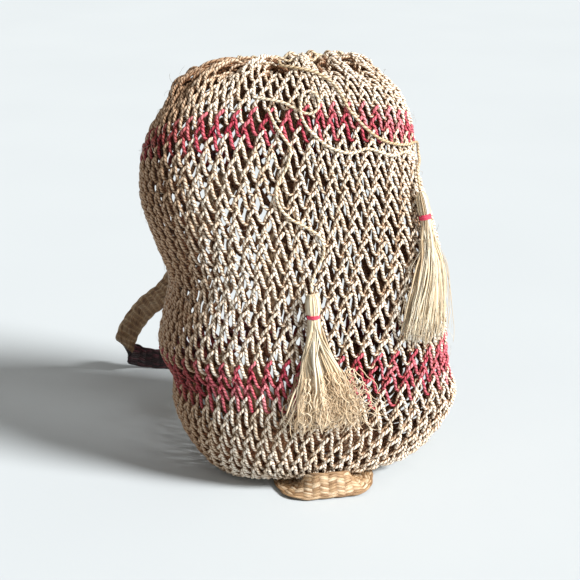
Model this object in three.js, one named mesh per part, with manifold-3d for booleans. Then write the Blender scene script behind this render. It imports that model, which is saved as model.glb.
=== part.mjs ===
// A woven straw backpack: a stuffed drawstring sack of coarse looped net with two dyed
// stripes, a gathered mouth, a drawstring that ends in two tassels, and two braided straps.
// Millimetres, +Z up, the front faces -Y. The origin is on the floor under the sack.
import * as THREE from 'three';
import { mergeVertices } from 'three/addons/utils/BufferGeometryUtils.js';
import Module from 'manifold-3d';

const wasm = await Module();
wasm.setup();

// Driving dimensions of the sack.
const HEIGHT = 388;            // floor to the top of the crown
const HALF_WIDTH = 145;        // half of the sack's greatest width
const HALF_DEPTH = 96;         // half of the sack's greatest depth
const WALL = 2.5;              // thickness of the net
const CLEAR = 0.4;             // gap between pieces that touch
const HEM_RISE = 14;           // how far the front edge of the base is lifted off the floor
const PLEAT_DEPTH = 3.2;       // depth of the gathers at the mouth
const PLEATS = 14;             // gathers round the mouth

// Driving dimensions of the net's gaps.
const GAP_COLUMNS = 14;        // gaps in one row round the sack
const GAP_FILL_WIDE = 0.72;    // share of a column that a gap takes
const GAP_FILL_TALL = 0.80;    // share of a row that a gap takes
const GAP_REACH = 9;           // how far a gap's cutter reaches to each side of the net

// Driving dimensions of the straps, the drawstring and the tassels.
const BAND_WIDTH = 24;         // braided strap, across
const BAND_THICK = 2.2;        // braided strap, through
const DYED_FROM = 361;         // where a strap's dyed stretch starts, along the strap from its top
const DYED_LONG = 110;         // length of a strap's dyed stretch
const CHANNEL_SIDE = 2;        // room beside a strap in the channels under the base
const CHANNEL_HIGH = 4.5;      // height of the channels under the base
const CORD_THICK = 2.6;        // drawstring diameter
const TASSEL_LONG = 128;       // left tassel, head to tips
const TASSEL_LONG_RIGHT = 136; // right tassel, head to tips
const TASSEL_SPREAD = 27;      // half width of the left tassel's skirt
const TASSEL_SPREAD_RIGHT = 22; // half width of the right tassel's skirt
const HEAD_HALF = 6;           // half width of a tassel's neck
const TIE_HIGH = 4;            // height of the red tie round a tassel's neck
const TIE_THICK = 1.2;         // thickness of that tie

// Facets.
const COLUMNS = 28;            // facets round the sack
const BAND_STEP = 12;          // length of one facet along a strap
const CORD_STEP = 7.5;         // length of one facet along a cord
const CORD_SIDES = 8;
const CORD_STEPS_MOST = 80;    // most facets along one cord

// Sections of the sack, from the edge of its base to its mouth. up is the way along the net
// from the base to the mouth; height and lift are shares of HEIGHT; left and right are shares
// of HALF_WIDTH; front and back are shares of HALF_DEPTH; lift raises the front of a section
// and lowers its back; square is the exponent of the section's rounded outline; turn is in
// degrees round +Z.
const SECTIONS = [
  { up: 0.00, height: 0.000, left: 0.483, right: 0.524, front: 0.73, back: 0.69, lift: 0.000, square: 2.3, turn: -8 },
  { up: 0.03, height: 0.009, left: 0.586, right: 0.634, front: 0.85, back: 0.81, lift: 0.000, square: 2.3, turn: -8 },
  { up: 0.07, height: 0.039, left: 0.669, right: 0.814, front: 0.94, back: 0.91, lift: 0.000, square: 2.3, turn: -8 },
  { up: 0.12, height: 0.088, left: 0.752, right: 0.938, front: 0.99, back: 0.96, lift: 0.005, square: 2.35, turn: -6 },
  { up: 0.18, height: 0.155, left: 0.814, right: 1.034, front: 1.01, back: 0.98, lift: 0.015, square: 2.4, turn: -4 },
  { up: 0.23, height: 0.216, left: 0.807, right: 0.986, front: 1.01, back: 0.98, lift: 0.031, square: 2.4, turn: -3 },
  { up: 0.30, height: 0.294, left: 0.890, right: 0.959, front: 0.98, back: 0.96, lift: 0.039, square: 2.4, turn: -2 },
  { up: 0.37, height: 0.376, left: 0.862, right: 0.945, front: 0.94, back: 0.94, lift: 0.044, square: 2.4, turn: -1 },
  { up: 0.45, height: 0.469, left: 0.814, right: 0.924, front: 0.90, back: 0.92, lift: 0.049, square: 2.4, turn: 0 },
  { up: 0.53, height: 0.562, left: 0.890, right: 0.869, front: 0.84, back: 0.90, lift: 0.054, square: 2.4, turn: 0 },
  { up: 0.61, height: 0.655, left: 0.966, right: 0.786, front: 0.78, back: 0.88, lift: 0.062, square: 2.35, turn: 0 },
  { up: 0.69, height: 0.737, left: 0.972, right: 0.731, front: 0.70, back: 0.85, lift: 0.072, square: 2.3, turn: 0 },
  { up: 0.77, height: 0.814, left: 0.931, right: 0.703, front: 0.58, back: 0.81, lift: 0.080, square: 2.3, turn: 0 },
  { up: 0.84, height: 0.884, left: 0.828, right: 0.634, front: 0.44, back: 0.73, lift: 0.070, square: 2.2, turn: 0 },
  { up: 0.90, height: 0.943, left: 0.731, right: 0.497, front: 0.30, back: 0.58, lift: 0.044, square: 2.1, turn: 0 },
  { up: 0.95, height: 0.985, left: 0.497, right: 0.379, front: 0.19, back: 0.40, lift: 0.015, square: 2.0, turn: 0 },
  { up: 1.00, height: 0.972, left: 0.193, right: 0.138, front: 0.125, back: 0.21, lift: 0.000, square: 2.0, turn: 0 },
];

// Dents and humps of the crown. around and up place each one, rise is a share of HEIGHT,
// wide and tall are its reach in around and up.
const HUMPS = [
  { around: 0.60, up: 0.91, rise: -0.026, wide: 0.09, tall: 0.06 },
  { around: 0.72, up: 0.90, rise: 0.012, wide: 0.03, tall: 0.04 },
];

// Where the front edge of the base is lifted: the middle of the lift, its half reach round
// the base, how far up the net it fades out, and how much of the base's middle stays flat.
const HEM = { around: 0.03, reach: 0.22, up: 0.16, flat: 0.45 };

// Rings of the net from the floor up, each a piece of its own, and the rows of gaps in it.
const RINGS = [
  { name: 'base_net', from: 0.000, to: 0.245, gapsFrom: 0.09, gapsTo: 0.245, rows: 1, facets: 4, colour: '#c9ac7f' },
  { name: 'lower_stripe', from: 0.245, to: 0.300, gapsFrom: 0.245, gapsTo: 0.300, rows: 1, facets: 1, colour: '#b93c57' },
  { name: 'middle_net', from: 0.300, to: 0.715, gapsFrom: 0.300, gapsTo: 0.715, rows: 3, facets: 6, colour: '#cdb185' },
  { name: 'upper_stripe', from: 0.715, to: 0.780, gapsFrom: 0.715, gapsTo: 0.780, rows: 1, facets: 1, colour: '#bd405b' },
  { name: 'crown', from: 0.780, to: 1.000, gapsFrom: 0.780, gapsTo: 0.925, rows: 1, facets: 6, colour: '#c4a87c' },
];
const RING_SPLIT = 0.0009;     // half of the gap between two rings, as a share of the net

// One gap's outline inside its column and row, as shares of them from the middle.
const GAP_OUTLINE = [
  { wide: 0.0, tall: -0.5 }, { wide: 0.5, tall: -0.06 },
  { wide: 0.0, tall: 0.5 }, { wide: -0.5, tall: -0.06 },
];

// Hermite curve through one column of a table, with each row's slope taken from its
// neighbours.
function through(table, key, up) {
  const last = table.length - 1;
  let row = 0;
  while (row < last - 1 && up >= table[row + 1].up) row += 1;
  const slope = (i) => {
    const a = Math.max(i - 1, 0);
    const b = Math.min(i + 1, last);
    return (table[b][key] - table[a][key]) / (table[b].up - table[a].up);
  };
  const step = table[row + 1].up - table[row].up;
  const t = (up - table[row].up) / step;
  const s = t * t * (3 - 2 * t);
  return table[row][key] * (1 - s) + table[row + 1][key] * s
    + step * (slope(row) * t * (1 - t) * (1 - t) - slope(row + 1) * t * t * (1 - t));
}

// How far round the net one place is from another, in turns, the short way.
function turnsBetween(a, b) {
  const turns = ((a - b) % 1 + 1.5) % 1;
  return turns - 0.5;
}

// Lift of the base's front edge at a place round it, 0 to 1.
function hemShare(around) {
  const away = Math.abs(turnsBetween(around, HEM.around)) / HEM.reach;
  return away < 1 ? Math.cos(away * Math.PI / 2) ** 2 : 0;
}

// A point of the net's outer face. around is in turns, 0 at the front and 0.25 at +X.
function netPoint(around, up) {
  const at = (key) => through(SECTIONS, key, up);
  const angle = around * Math.PI * 2;
  const rounded = (value) => Math.sign(value) * Math.abs(value) ** (2 / at('square'));
  const across = rounded(Math.sin(angle));
  const along = rounded(Math.cos(angle));
  const x = across * (across > 0 ? at('right') : at('left')) * HALF_WIDTH;
  const y = -along * (along > 0 ? at('front') : at('back')) * HALF_DEPTH;
  let z = (at('height') + at('lift') * Math.cos(angle)) * HEIGHT;
  for (const hump of HUMPS) {
    const u = turnsBetween(around, hump.around) / hump.wide;
    const v = (up - hump.up) / hump.tall;
    z += hump.rise * HEIGHT * Math.exp(-u * u - v * v);
  }
  const fade = Math.max(1 - up / HEM.up, 0);
  z += HEM_RISE * hemShare(around) * fade * fade;
  return new THREE.Vector3(x, y, z)
    .applyAxisAngle(new THREE.Vector3(0, 0, 1), THREE.MathUtils.degToRad(at('turn')));
}

// The outward direction of the net there, from two short steps along it.
function netNormal(around, up) {
  const step = 0.004;
  const low = Math.max(up - step, 0);
  const high = Math.min(up + step, 1);
  const round = netPoint(around + step, up).sub(netPoint(around - step, up));
  return round.cross(netPoint(around, high).sub(netPoint(around, low))).normalize();
}

// A point that stands off the net by proud, with the gathers of the mouth put in.
function onNet(around, up, proud = 0) {
  const gather = THREE.MathUtils.smoothstep(up, 0.8, 0.97);
  const pleat = PLEAT_DEPTH * gather * Math.cos(around * PLEATS * Math.PI * 2);
  return netPoint(around, up).addScaledVector(netNormal(around, up), proud + pleat - PLEAT_DEPTH * gather);
}

// Closed body from rings of points: neighbours are joined, and the ends are closed by a
// point each or, where the rings run back to the first, by joining the last to the first.
// turned names a side whose facets are split the other way, so that the two faces of a thin
// twisted band are split alike.
function bodyOfRings(rings, poles, turned = -1) {
  const count = rings[0].length;
  const positions = [];
  for (const ring of rings) for (const p of ring) positions.push(p.x, p.y, p.z);
  const index = [];
  const joins = poles ? rings.length - 1 : rings.length;
  for (let i = 0; i < joins; i += 1) {
    const a = i * count;
    const b = ((i + 1) % rings.length) * count;
    for (let j = 0; j < count; j += 1) {
      const k = (j + 1) % count;
      if (j === turned) index.push(a + j, a + k, b + j, a + k, b + k, b + j);
      else index.push(a + j, a + k, b + k, a + j, b + k, b + j);
    }
  }
  if (poles) {
    for (const [p, ring, flip] of [[poles[0], 0, true], [poles[1], rings.length - 1, false]]) {
      const pole = positions.length / 3;
      positions.push(p.x, p.y, p.z);
      for (let j = 0; j < count; j += 1) {
        const a = ring * count + j;
        const b = ring * count + (j + 1) % count;
        index.push(...(flip ? [b, a, pole] : [a, b, pole]));
      }
    }
  }
  const geometry = new THREE.BufferGeometry();
  geometry.setAttribute('position', new THREE.Float32BufferAttribute(positions, 3));
  geometry.setIndex(index);
  return geometry;
}

function toSolid(geometry) {
  const merged = geometry.clone();
  merged.deleteAttribute('normal');
  merged.deleteAttribute('uv');
  const welded = mergeVertices(merged, 1e-4);
  return new wasm.Manifold(new wasm.Mesh({
    numProp: 3,
    vertProperties: new Float32Array(welded.attributes.position.array),
    triVerts: new Uint32Array(welded.index.array),
  }));
}

function toGeometry(solid) {
  const mesh = solid.getMesh();
  const geometry = new THREE.BufferGeometry();
  geometry.setAttribute('position', new THREE.Float32BufferAttribute(mesh.vertProperties, 3));
  geometry.setIndex(Array.from(mesh.triVerts));
  return geometry;
}

// The net.

// One ring of points round the net at a height along it.
function netRing(up, proud) {
  return Array.from({ length: COLUMNS }, (_, i) => onNet(i / COLUMNS, up, proud));
}

// Heights along the net of a ring's facets.
function facetRows(from, to, facets) {
  return Array.from({ length: facets + 1 }, (_, i) => from + (to - from) * i / facets);
}

// A cutter for one gap: its outline carried from outside the net to inside it.
function gapCutter(around, up, wide, tall) {
  const outline = (proud) => GAP_OUTLINE.map((corner) => onNet(
    around + corner.wide * wide * GAP_FILL_WIDE,
    up + corner.tall * tall * GAP_FILL_TALL,
    proud,
  ));
  const poles = [onNet(around, up, -GAP_REACH), onNet(around, up, GAP_REACH)];
  return toSolid(bodyOfRings([outline(-GAP_REACH), outline(GAP_REACH)], poles));
}

function cutGaps(solid, ring) {
  let cut = solid;
  const tall = (ring.gapsTo - ring.gapsFrom) / ring.rows;
  for (let row = 0; row < ring.rows; row += 1) {
    const offset = (row % 2) * 0.5;
    for (let i = 0; i < GAP_COLUMNS; i += 1) {
      const around = (i + offset) / GAP_COLUMNS;
      const up = ring.gapsFrom + (row + 0.5) * tall;
      cut = cut.subtract(gapCutter(around, up, 1 / GAP_COLUMNS, tall));
    }
  }
  return cut;
}

// The base: rings of the underside from its middle to its edge, at one stand-off.
function undersideRings(proud) {
  const shares = [0.25, HEM.flat, 0.64, 0.82];
  return shares.map((share) => Array.from({ length: COLUMNS }, (_, i) => {
    const edge = netPoint(i / COLUMNS, 0);
    const climb = Math.max((share - HEM.flat) / (1 - HEM.flat), 0) ** 2;
    return new THREE.Vector3(edge.x * share, edge.y * share, edge.z * climb - proud);
  }));
}

// Where the right strap's two runs under the base lie, as shares of HALF_WIDTH.
const CHANNELS_AT = [-0.179, 0.324];

// Cutters for the channels of those runs, longer than the base is deep.
function channels(grow) {
  const wide = BAND_WIDTH + 2 * CHANNEL_SIDE + 2 * grow;
  const high = CHANNEL_HIGH + grow;
  return CHANNELS_AT.map((side) => {
    const box = new THREE.BoxGeometry(wide, HALF_DEPTH * 3, high * 2);
    box.translate(side * HALF_WIDTH, 0, 0);
    return toSolid(box);
  });
}

// The base's filled-out form at one stand-off from its outer face. extra carries it on
// straight up from its top edge.
function cup(to, facets, proud, extra) {
  const rows = facetRows(0, to, facets);
  const rings = [...undersideRings(proud), ...rows.map((up) => netRing(up, proud))];
  const top = new THREE.Vector3(0, 0, netPoint(0.25, to).z + extra);
  if (extra > 0) rings.push(netRing(to, proud).map((p) => p.setZ(top.z)));
  return toSolid(bodyOfRings(rings, [new THREE.Vector3(0, 0, -proud), top]));
}

function baseSolid(ring, to) {
  let outer = cup(to, ring.facets, 0, 0);
  let inner = cup(to, ring.facets, -WALL, HEIGHT * 0.1);
  for (const channel of channels(0)) outer = outer.subtract(channel);
  for (const channel of channels(WALL)) inner = inner.subtract(channel);
  return outer.subtract(inner);
}

function ringSolid(ring, from, to) {
  const rows = facetRows(from, to, ring.facets);
  const outer = rows.map((up) => netRing(up, 0));
  const inner = rows.map((up) => netRing(up, -WALL)).reverse();
  return toSolid(bodyOfRings([...outer, ...inner]));
}

function netPieces() {
  return RINGS.map((ring) => {
    const from = ring.from === 0 ? 0 : ring.from + RING_SPLIT;
    const to = ring.to === 1 ? 1 : ring.to - RING_SPLIT;
    const solid = ring.from === 0 ? baseSolid(ring, to) : ringSolid(ring, from, to);
    return piece(ring.name, toGeometry(cutGaps(solid, ring)), ring.colour, 0.8);
  });
}

// The straps. Each row of a route is a place on the net, by around, up and stand-off in
// straps' thicknesses, or a free place, by side as a share of HALF_WIDTH, back as a share of
// HALF_DEPTH, and height as a share of HEIGHT with rise as a share of the strap's width.
// The last three columns are the direction of the strap's width.
const LEFT_ROUTE = [
  { around: 0.516, up: 0.865, off: 1.2, ax: -1, ay: 0, az: 0 },
  { around: 0.521, up: 0.80, off: 2.0, ax: -1, ay: 0, az: 0 },
  { side: -0.29, back: 1.08, height: 0.650, rise: 0, ax: -0.92, ay: 0.15, az: 0.30 },
  { side: -0.50, back: 1.42, height: 0.477, rise: 0, ax: -0.7, ay: 0.28, az: 0.5 },
  { side: -0.717, back: 1.72, height: 0.286, rise: 0, ax: -0.49, ay: 0.32, az: 0.59 },
  { side: -0.883, back: 1.94, height: 0.211, rise: 0, ax: -0.52, ay: 0.32, az: 0.57 },
  { side: -0.986, back: 2.09, height: 0.139, rise: 0, ax: -0.72, ay: 0.32, az: 0.48 },
  { side: -1.025, back: 2.17, height: 0.09, rise: 0, ax: -0.8, ay: 0.42, az: 0.43 },
  { side: -1.01, back: 2.25, height: 0.063, rise: 0, ax: -0.25, ay: 0.83, az: 0.48 },
  { side: -0.95, back: 2.27, height: 0.0, rise: 0.68, ax: 0.05, ay: 0.25, az: 0.95 },
  { side: -0.86, back: 2.235, height: 0.0, rise: 0.53, ax: 0, ay: 0, az: 1 },
  { side: -0.70, back: 2.16, height: 0.0, rise: 0.51, ax: 0, ay: 0, az: 1 },
  { side: -0.46, back: 2.14, height: 0.0, rise: 0.51, ax: 0, ay: 0, az: 1 },
  { side: -0.27, back: 2.00, height: 0.0, rise: 0.51, ax: 0, ay: 0, az: 1 },
  { side: -0.23, back: 1.76, height: 0.0, rise: 0.51, ax: 0, ay: 0, az: 1 },
  { side: -0.34, back: 1.55, height: 0.0, rise: 0.51, ax: 0, ay: 0, az: 1 },
  { side: -0.54, back: 1.44, height: 0.0, rise: 0.52, ax: 0, ay: 0, az: 1 },
  { side: -0.72, back: 1.28, height: 0.01, rise: 0.55, ax: 0, ay: 0, az: 1 },
  { around: 0.655, up: 0.13, off: 3.4, ax: 0, ay: 0, az: 1 },
  { around: 0.635, up: 0.135, off: 1.4, ax: 0, ay: 0, az: 1 },
  { around: 0.610, up: 0.14, off: 1.1, ax: 0, ay: 0, az: 1 },
];
const RIGHT_ROUTE = [
  { around: 0.484, up: 0.865, off: 1.2, ax: 1, ay: 0, az: 0 },
  { around: 0.482, up: 0.80, off: 2.0, ax: 1, ay: 0, az: 0 },
  { side: 0.10, back: 1.08, height: 0.630, rise: 0, ax: 1, ay: 0, az: 0 },
  { side: 0.04, back: 1.20, height: 0.438, rise: 0, ax: 1, ay: 0, az: 0 },
  { side: -0.05, back: 1.27, height: 0.245, rise: 0, ax: 1, ay: 0, az: 0 },
  { side: -0.13, back: 1.28, height: 0.103, rise: 0, ax: 1, ay: 0, az: 0 },
  { side: -0.172, back: 1.20, height: 0.022, rise: 0, ax: 1, ay: 0, az: 0 },
  { side: -0.179, back: 1.02, height: 0, rise: 0.14, ax: 1, ay: 0, az: 0 },
  { side: -0.179, back: 0.62, height: 0, rise: 0.08, ax: 1, ay: 0, az: 0 },
  { side: -0.179, back: 0.00, height: 0, rise: 0.08, ax: 1, ay: 0, az: 0 },
  { side: -0.179, back: -0.50, height: 0, rise: 0.08, ax: 1, ay: 0, az: 0 },
  { side: -0.179, back: -0.74, height: 0, rise: 0.13, ax: 1, ay: 0.04, az: 0.03 },
  { side: -0.155, back: -0.93, height: 0, rise: 0.26, ax: 0.8, ay: 0.4, az: 0.3 },
  { side: -0.072, back: -1.055, height: 0, rise: 0.48, ax: 0.3, ay: 0.34, az: 0.88 },
  { side: 0.040, back: -1.08, height: 0, rise: 0.51, ax: 0, ay: 0.33, az: 0.94 },
  { side: 0.150, back: -1.065, height: 0, rise: 0.48, ax: -0.25, ay: 0.36, az: 0.88 },
  { side: 0.250, back: -0.985, height: 0, rise: 0.31, ax: -0.7, ay: 0.42, az: 0.42 },
  { side: 0.308, back: -0.73, height: 0, rise: 0.15, ax: -1, ay: 0.1, az: 0.07 },
  { side: 0.324, back: -0.50, height: 0, rise: 0.08, ax: -1, ay: 0, az: 0 },
  { side: 0.324, back: 0.00, height: 0, rise: 0.08, ax: -1, ay: 0, az: 0 },
  { side: 0.324, back: 0.62, height: 0, rise: 0.08, ax: -1, ay: 0, az: 0 },
  { side: 0.330, back: 1.00, height: 0, rise: 0.14, ax: -1, ay: 0, az: 0 },
  { side: 0.350, back: 1.16, height: 0, rise: 0.60, ax: -1, ay: 0, az: 0 },
  { around: 0.428, up: 0.13, off: 5.0, ax: -1, ay: 0, az: 0 },
  { around: 0.428, up: 0.18, off: 1.6, ax: -1, ay: 0, az: 0 },
  { around: 0.428, up: 0.23, off: 1.2, ax: -1, ay: 0, az: 0 },
];

function routePlace(row) {
  if (row.around !== undefined) return onNet(row.around, row.up, row.off * BAND_THICK);
  return new THREE.Vector3(
    row.side * HALF_WIDTH,
    row.back * HALF_DEPTH,
    row.height * HEIGHT + row.rise * BAND_WIDTH,
  );
}

// One strap's middle line and width direction, both smooth through its route.
function bandPath(route) {
  const middle = new THREE.CatmullRomCurve3(route.map(routePlace), false, 'centripetal');
  const widths = route.map((row) => {
    const wide = new THREE.Vector3(row.ax, row.ay, row.az);
    if (row.around === undefined) return wide.normalize();
    return wide.projectOnPlane(netNormal(row.around, row.up)).normalize();
  });
  const across = new THREE.CatmullRomCurve3(widths, false, 'catmullrom', 0.5);
  middle.arcLengthDivisions = 1200;
  return { middle, across, length: middle.getLength() };
}

// The four corners of the strap's section, as shares of its width and thickness.
const BAND_SECTION = [
  { wide: -0.5, thick: -0.5 }, { wide: 0.5, thick: -0.5 },
  { wide: 0.5, thick: 0.5 }, { wide: -0.5, thick: 0.5 },
];

function bandStretch(path, from, to) {
  const steps = Math.max(2, Math.round((to - from) / BAND_STEP));
  const rings = [];
  for (let i = 0; i <= steps; i += 1) {
    const t = path.middle.getUtoTmapping((from + (to - from) * i / steps) / path.length);
    const centre = path.middle.getPoint(t);
    const tangent = path.middle.getTangent(t);
    const wide = path.across.getPoint(t);
    wide.addScaledVector(tangent, -wide.dot(tangent)).normalize();
    const face = new THREE.Vector3().crossVectors(tangent, wide);
    rings.push(BAND_SECTION.map((corner) => centre.clone()
      .addScaledVector(wide, corner.wide * BAND_WIDTH)
      .addScaledVector(face, corner.thick * BAND_THICK)));
  }
  const middle = (ring) => ring.reduce((sum, p) => sum.add(p), new THREE.Vector3())
    .divideScalar(ring.length);
  return bodyOfRings(rings, [middle(rings[0]), middle(rings[steps])], 2);
}

function strapPieces(side, route) {
  const path = bandPath(route);
  const dyedTo = DYED_FROM + DYED_LONG;
  const cuts = [
    { name: 'upper', from: 0, to: DYED_FROM - CLEAR / 2, colour: '#c2a271' },
    { name: 'dyed', from: DYED_FROM + CLEAR / 2, to: dyedTo - CLEAR / 2, colour: '#4a1420' },
    { name: 'lower', from: dyedTo + CLEAR / 2, to: path.length, colour: '#c2a271' },
  ];
  return cuts.map((cut) => piece(
    `strap_${side}_${cut.name}`,
    bandStretch(path, cut.from, cut.to),
    cut.colour,
    0.7,
  ));
}

// The drawstring. The routes' points are places on the net, by around and up, with a
// stand-off in cord thicknesses.
const CORD_LEFT = [
  [-0.038, 0.782, 0.9], [-0.035, 0.768, 1.0], [-0.031, 0.748, 1.1], [-0.024, 0.723, 1.1],
  [-0.018, 0.700, 1.1], [-0.021, 0.667, 1.1], [-0.030, 0.633, 1.1], [-0.031, 0.610, 1.1],
  [-0.028, 0.591, 1.1], [-0.020, 0.572, 1.1], [-0.008, 0.556, 1.1], [0.001, 0.536, 1.1],
  [0.003, 0.508, 1.1], [-0.002, 0.474, 1.2], [-0.006, 0.452, 2.2],
];
const CORD_RIGHT = [
  [-0.037, 0.925, 1.0], [-0.028, 0.896, 1.2], [-0.014, 0.880, 1.2], [0.010, 0.858, 1.2],
  [0.028, 0.834, 1.1], [0.037, 0.800, 1.1], [0.043, 0.770, 1.1], [0.053, 0.750, 1.1],
  [0.066, 0.731, 1.1], [0.088, 0.712, 1.2], [0.115, 0.704, 1.2], [0.150, 0.706, 1.2],
  [0.185, 0.716, 1.4], [0.212, 0.716, 1.6], [0.222, 0.698, 1.6], [0.210, 0.680, 1.5],
  [0.187, 0.667, 1.5], [0.166, 0.648, 1.6],
];
const CORD_CROSS = [
  [-0.050, 0.805, 0.85], [-0.035, 0.797, 1.2], [-0.022, 0.788, 1.4], [-0.011, 0.773, 1.4],
  [-0.002, 0.763, 1.5], [0.004, 0.771, 1.9], [0.006, 0.787, 2.0], [0.004, 0.803, 1.7],
  [-0.001, 0.811, 1.5], [-0.006, 0.804, 1.6], [-0.008, 0.787, 2.2], [-0.009, 0.769, 2.85],
  [-0.007, 0.752, 1.9], [-0.003, 0.734, 1.0], [0.004, 0.713, 0.85], [0.015, 0.697, 0.85],
  [0.025, 0.690, 0.85], [0.037, 0.685, 0.85], [0.049, 0.687, 0.85],
  [0.062, 0.693, 0.85], [0.076, 0.690, 0.85], [0.090, 0.684, 0.85], [0.108, 0.680, 0.85],
  [0.124, 0.684, 0.85], [0.139, 0.689, 0.85], [0.158, 0.686, 0.85],
];

function cordTube(points) {
  const path = new THREE.CatmullRomCurve3(points, false, 'centripetal');
  const section = new THREE.Shape();
  for (let i = 0; i < CORD_SIDES; i += 1) {
    const angle = i / CORD_SIDES * Math.PI * 2;
    const x = Math.cos(angle) * CORD_THICK / 2;
    const y = Math.sin(angle) * CORD_THICK / 2;
    if (i === 0) section.moveTo(x, y); else section.lineTo(x, y);
  }
  section.closePath();
  const steps = Math.min(CORD_STEPS_MOST, Math.round(path.getLength() / CORD_STEP));
  return new THREE.ExtrudeGeometry(section, { steps, extrudePath: path, bevelEnabled: false });
}

// A cord's solid along its route, which a tassel's head may end.
function cordPiece(name, route, tassel) {
  const points = route.map(([around, up, off]) => onNet(around, up, off * CORD_THICK));
  if (tassel) {
    const head = tasselFrame(tassel, -POLE_SHARE);
    points.push(head.centre.addScaledVector(head.down, -CLEAR * 2));
  }
  return piece(name, cordTube(points), '#d9bf8e', 0.7);
}

// The drawstring's own ring, which gathers the mouth just outside its rim.
const MOUTH_CORD_UP = 0.972;
function mouthCord() {
  const points = netRing(MOUTH_CORD_UP, CORD_THICK / 2 + CLEAR * 5);
  const path = new THREE.CatmullRomCurve3(points, true, 'centripetal');
  const steps = COLUMNS * 2;
  const rings = Array.from({ length: steps }, (_, i) => {
    const centre = path.getPointAt(i / steps);
    const tangent = path.getTangentAt(i / steps);
    const side = new THREE.Vector3(0, 0, 1).cross(tangent).normalize();
    const rise = new THREE.Vector3().crossVectors(tangent, side);
    return Array.from({ length: CORD_SIDES }, (_, j) => {
      const angle = j / CORD_SIDES * Math.PI * 2;
      return centre.clone()
        .addScaledVector(side, Math.cos(angle) * CORD_THICK / 2)
        .addScaledVector(rise, Math.sin(angle) * CORD_THICK / 2);
    });
  });
  return piece('mouth_cord', bodyOfRings(rings), '#d9bf8e', 0.7);
}

// The tassels. up is the way down the tassel as a share of its length, wide is a share of its
// spread that is added to the neck's half width, and thick is the half thickness as a share of
// the neck's half width.
const TASSEL_FORM = [
  { up: 0.00, wide: -0.10, thick: 0.45 },
  { up: 0.03, wide: 0.00, thick: 0.85 },
  { up: 0.12, wide: 0.02, thick: 0.95 },
  { up: 0.165, wide: -0.03, thick: 0.75 },
  { up: 0.21, wide: 0.03, thick: 0.95 },
  { up: 0.40, wide: 0.30, thick: 1.15 },
  { up: 0.65, wide: 0.66, thick: 1.3 },
  { up: 0.88, wide: 0.97, thick: 1.3 },
  { up: 1.00, wide: 0.88, thick: 0.9 },
];
const POLE_SHARE = 0.005;      // how far a tassel's ends are domed, as a share of its length
const TIE_AT = 0.165;          // where the tie sits, as a share of the tassel's length
const LOCKS = 8;               // locks round a tassel's skirt
const LOCK_SIDES = 2;          // facets in one lock
const LOCK_DEPTH = 0.14;       // depth of the furrows between locks, as a share of the radius
const TASSEL_OFF = HEAD_HALF + TIE_THICK + CLEAR * 3;

const TASSELS = [
  {
    name: 'left', long: TASSEL_LONG, spread: TASSEL_SPREAD,
    from: { around: -0.006, up: 0.436 }, to: { around: 0.006, up: 0.165 },
  },
  {
    name: 'right', long: TASSEL_LONG_RIGHT, spread: TASSEL_SPREAD_RIGHT,
    from: { around: 0.143, up: 0.605 }, to: { around: 0.110, up: 0.315 },
  },
];

// Frame of a tassel at a share of its length: its centre on the net, and its three
// directions, down the tassel, across it and out of the net.
function tasselFrame(tassel, share) {
  const place = (s) => {
    const around = THREE.MathUtils.lerp(tassel.from.around, tassel.to.around, s);
    const up = THREE.MathUtils.lerp(tassel.from.up, tassel.to.up, s);
    return { around, up, point: onNet(around, up, TASSEL_OFF) };
  };
  const start = place(0).point;
  const whole = place(1).point.distanceTo(start);
  const s = share * tassel.long / whole;
  const here = place(s);
  const down = place(s + 0.02).point.sub(place(s - 0.02).point).normalize();
  const out = netNormal(here.around, here.up);
  out.addScaledVector(down, -out.dot(down)).normalize();
  return { centre: here.point, down, out, across: new THREE.Vector3().crossVectors(down, out) };
}

// One ring of a tassel's section, with furrows between its locks.
function tasselRing(tassel, share, furrow, grow = 0) {
  const frame = tasselFrame(tassel, share);
  const wide = HEAD_HALF + through(TASSEL_FORM, 'wide', share) * tassel.spread + grow;
  const thick = HEAD_HALF * through(TASSEL_FORM, 'thick', share) + grow;
  const sides = LOCKS * LOCK_SIDES;
  return Array.from({ length: sides }, (_, i) => {
    const angle = i / sides * Math.PI * 2;
    const radius = i % LOCK_SIDES === 0 ? 1 : 1 - furrow;
    return frame.centre.clone()
      .addScaledVector(frame.across, -Math.cos(angle) * wide * radius)
      .addScaledVector(frame.out, Math.sin(angle) * thick * radius);
  });
}

function tasselPieces(tassel) {
  const rings = TASSEL_FORM.map(({ up: share }) => tasselRing(
    tassel,
    share,
    LOCK_DEPTH * THREE.MathUtils.smoothstep(share, TIE_AT, 0.5),
  ));
  const poles = [-POLE_SHARE, 1 - 3 * POLE_SHARE].map((share) => tasselFrame(tassel, share).centre);
  const half = TIE_HIGH / 2 / tassel.long;
  const tie = [
    tasselRing(tassel, TIE_AT - half, 0, CLEAR + TIE_THICK),
    tasselRing(tassel, TIE_AT + half, 0, CLEAR + TIE_THICK),
    tasselRing(tassel, TIE_AT + half, 0, CLEAR),
    tasselRing(tassel, TIE_AT - half, 0, CLEAR),
  ];
  return [
    piece(`tassel_${tassel.name}`, bodyOfRings(rings, poles), '#dcc08d', 0.7),
    piece(`tassel_tie_${tassel.name}`, bodyOfRings(tie), '#d83f57', 0.6),
  ];
}

function piece(name, geometry, colour, roughness) {
  const material = new THREE.MeshStandardMaterial({ color: colour, roughness, metalness: 0 });
  const mesh = new THREE.Mesh(geometry, material);
  mesh.name = name;
  return mesh;
}

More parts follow.
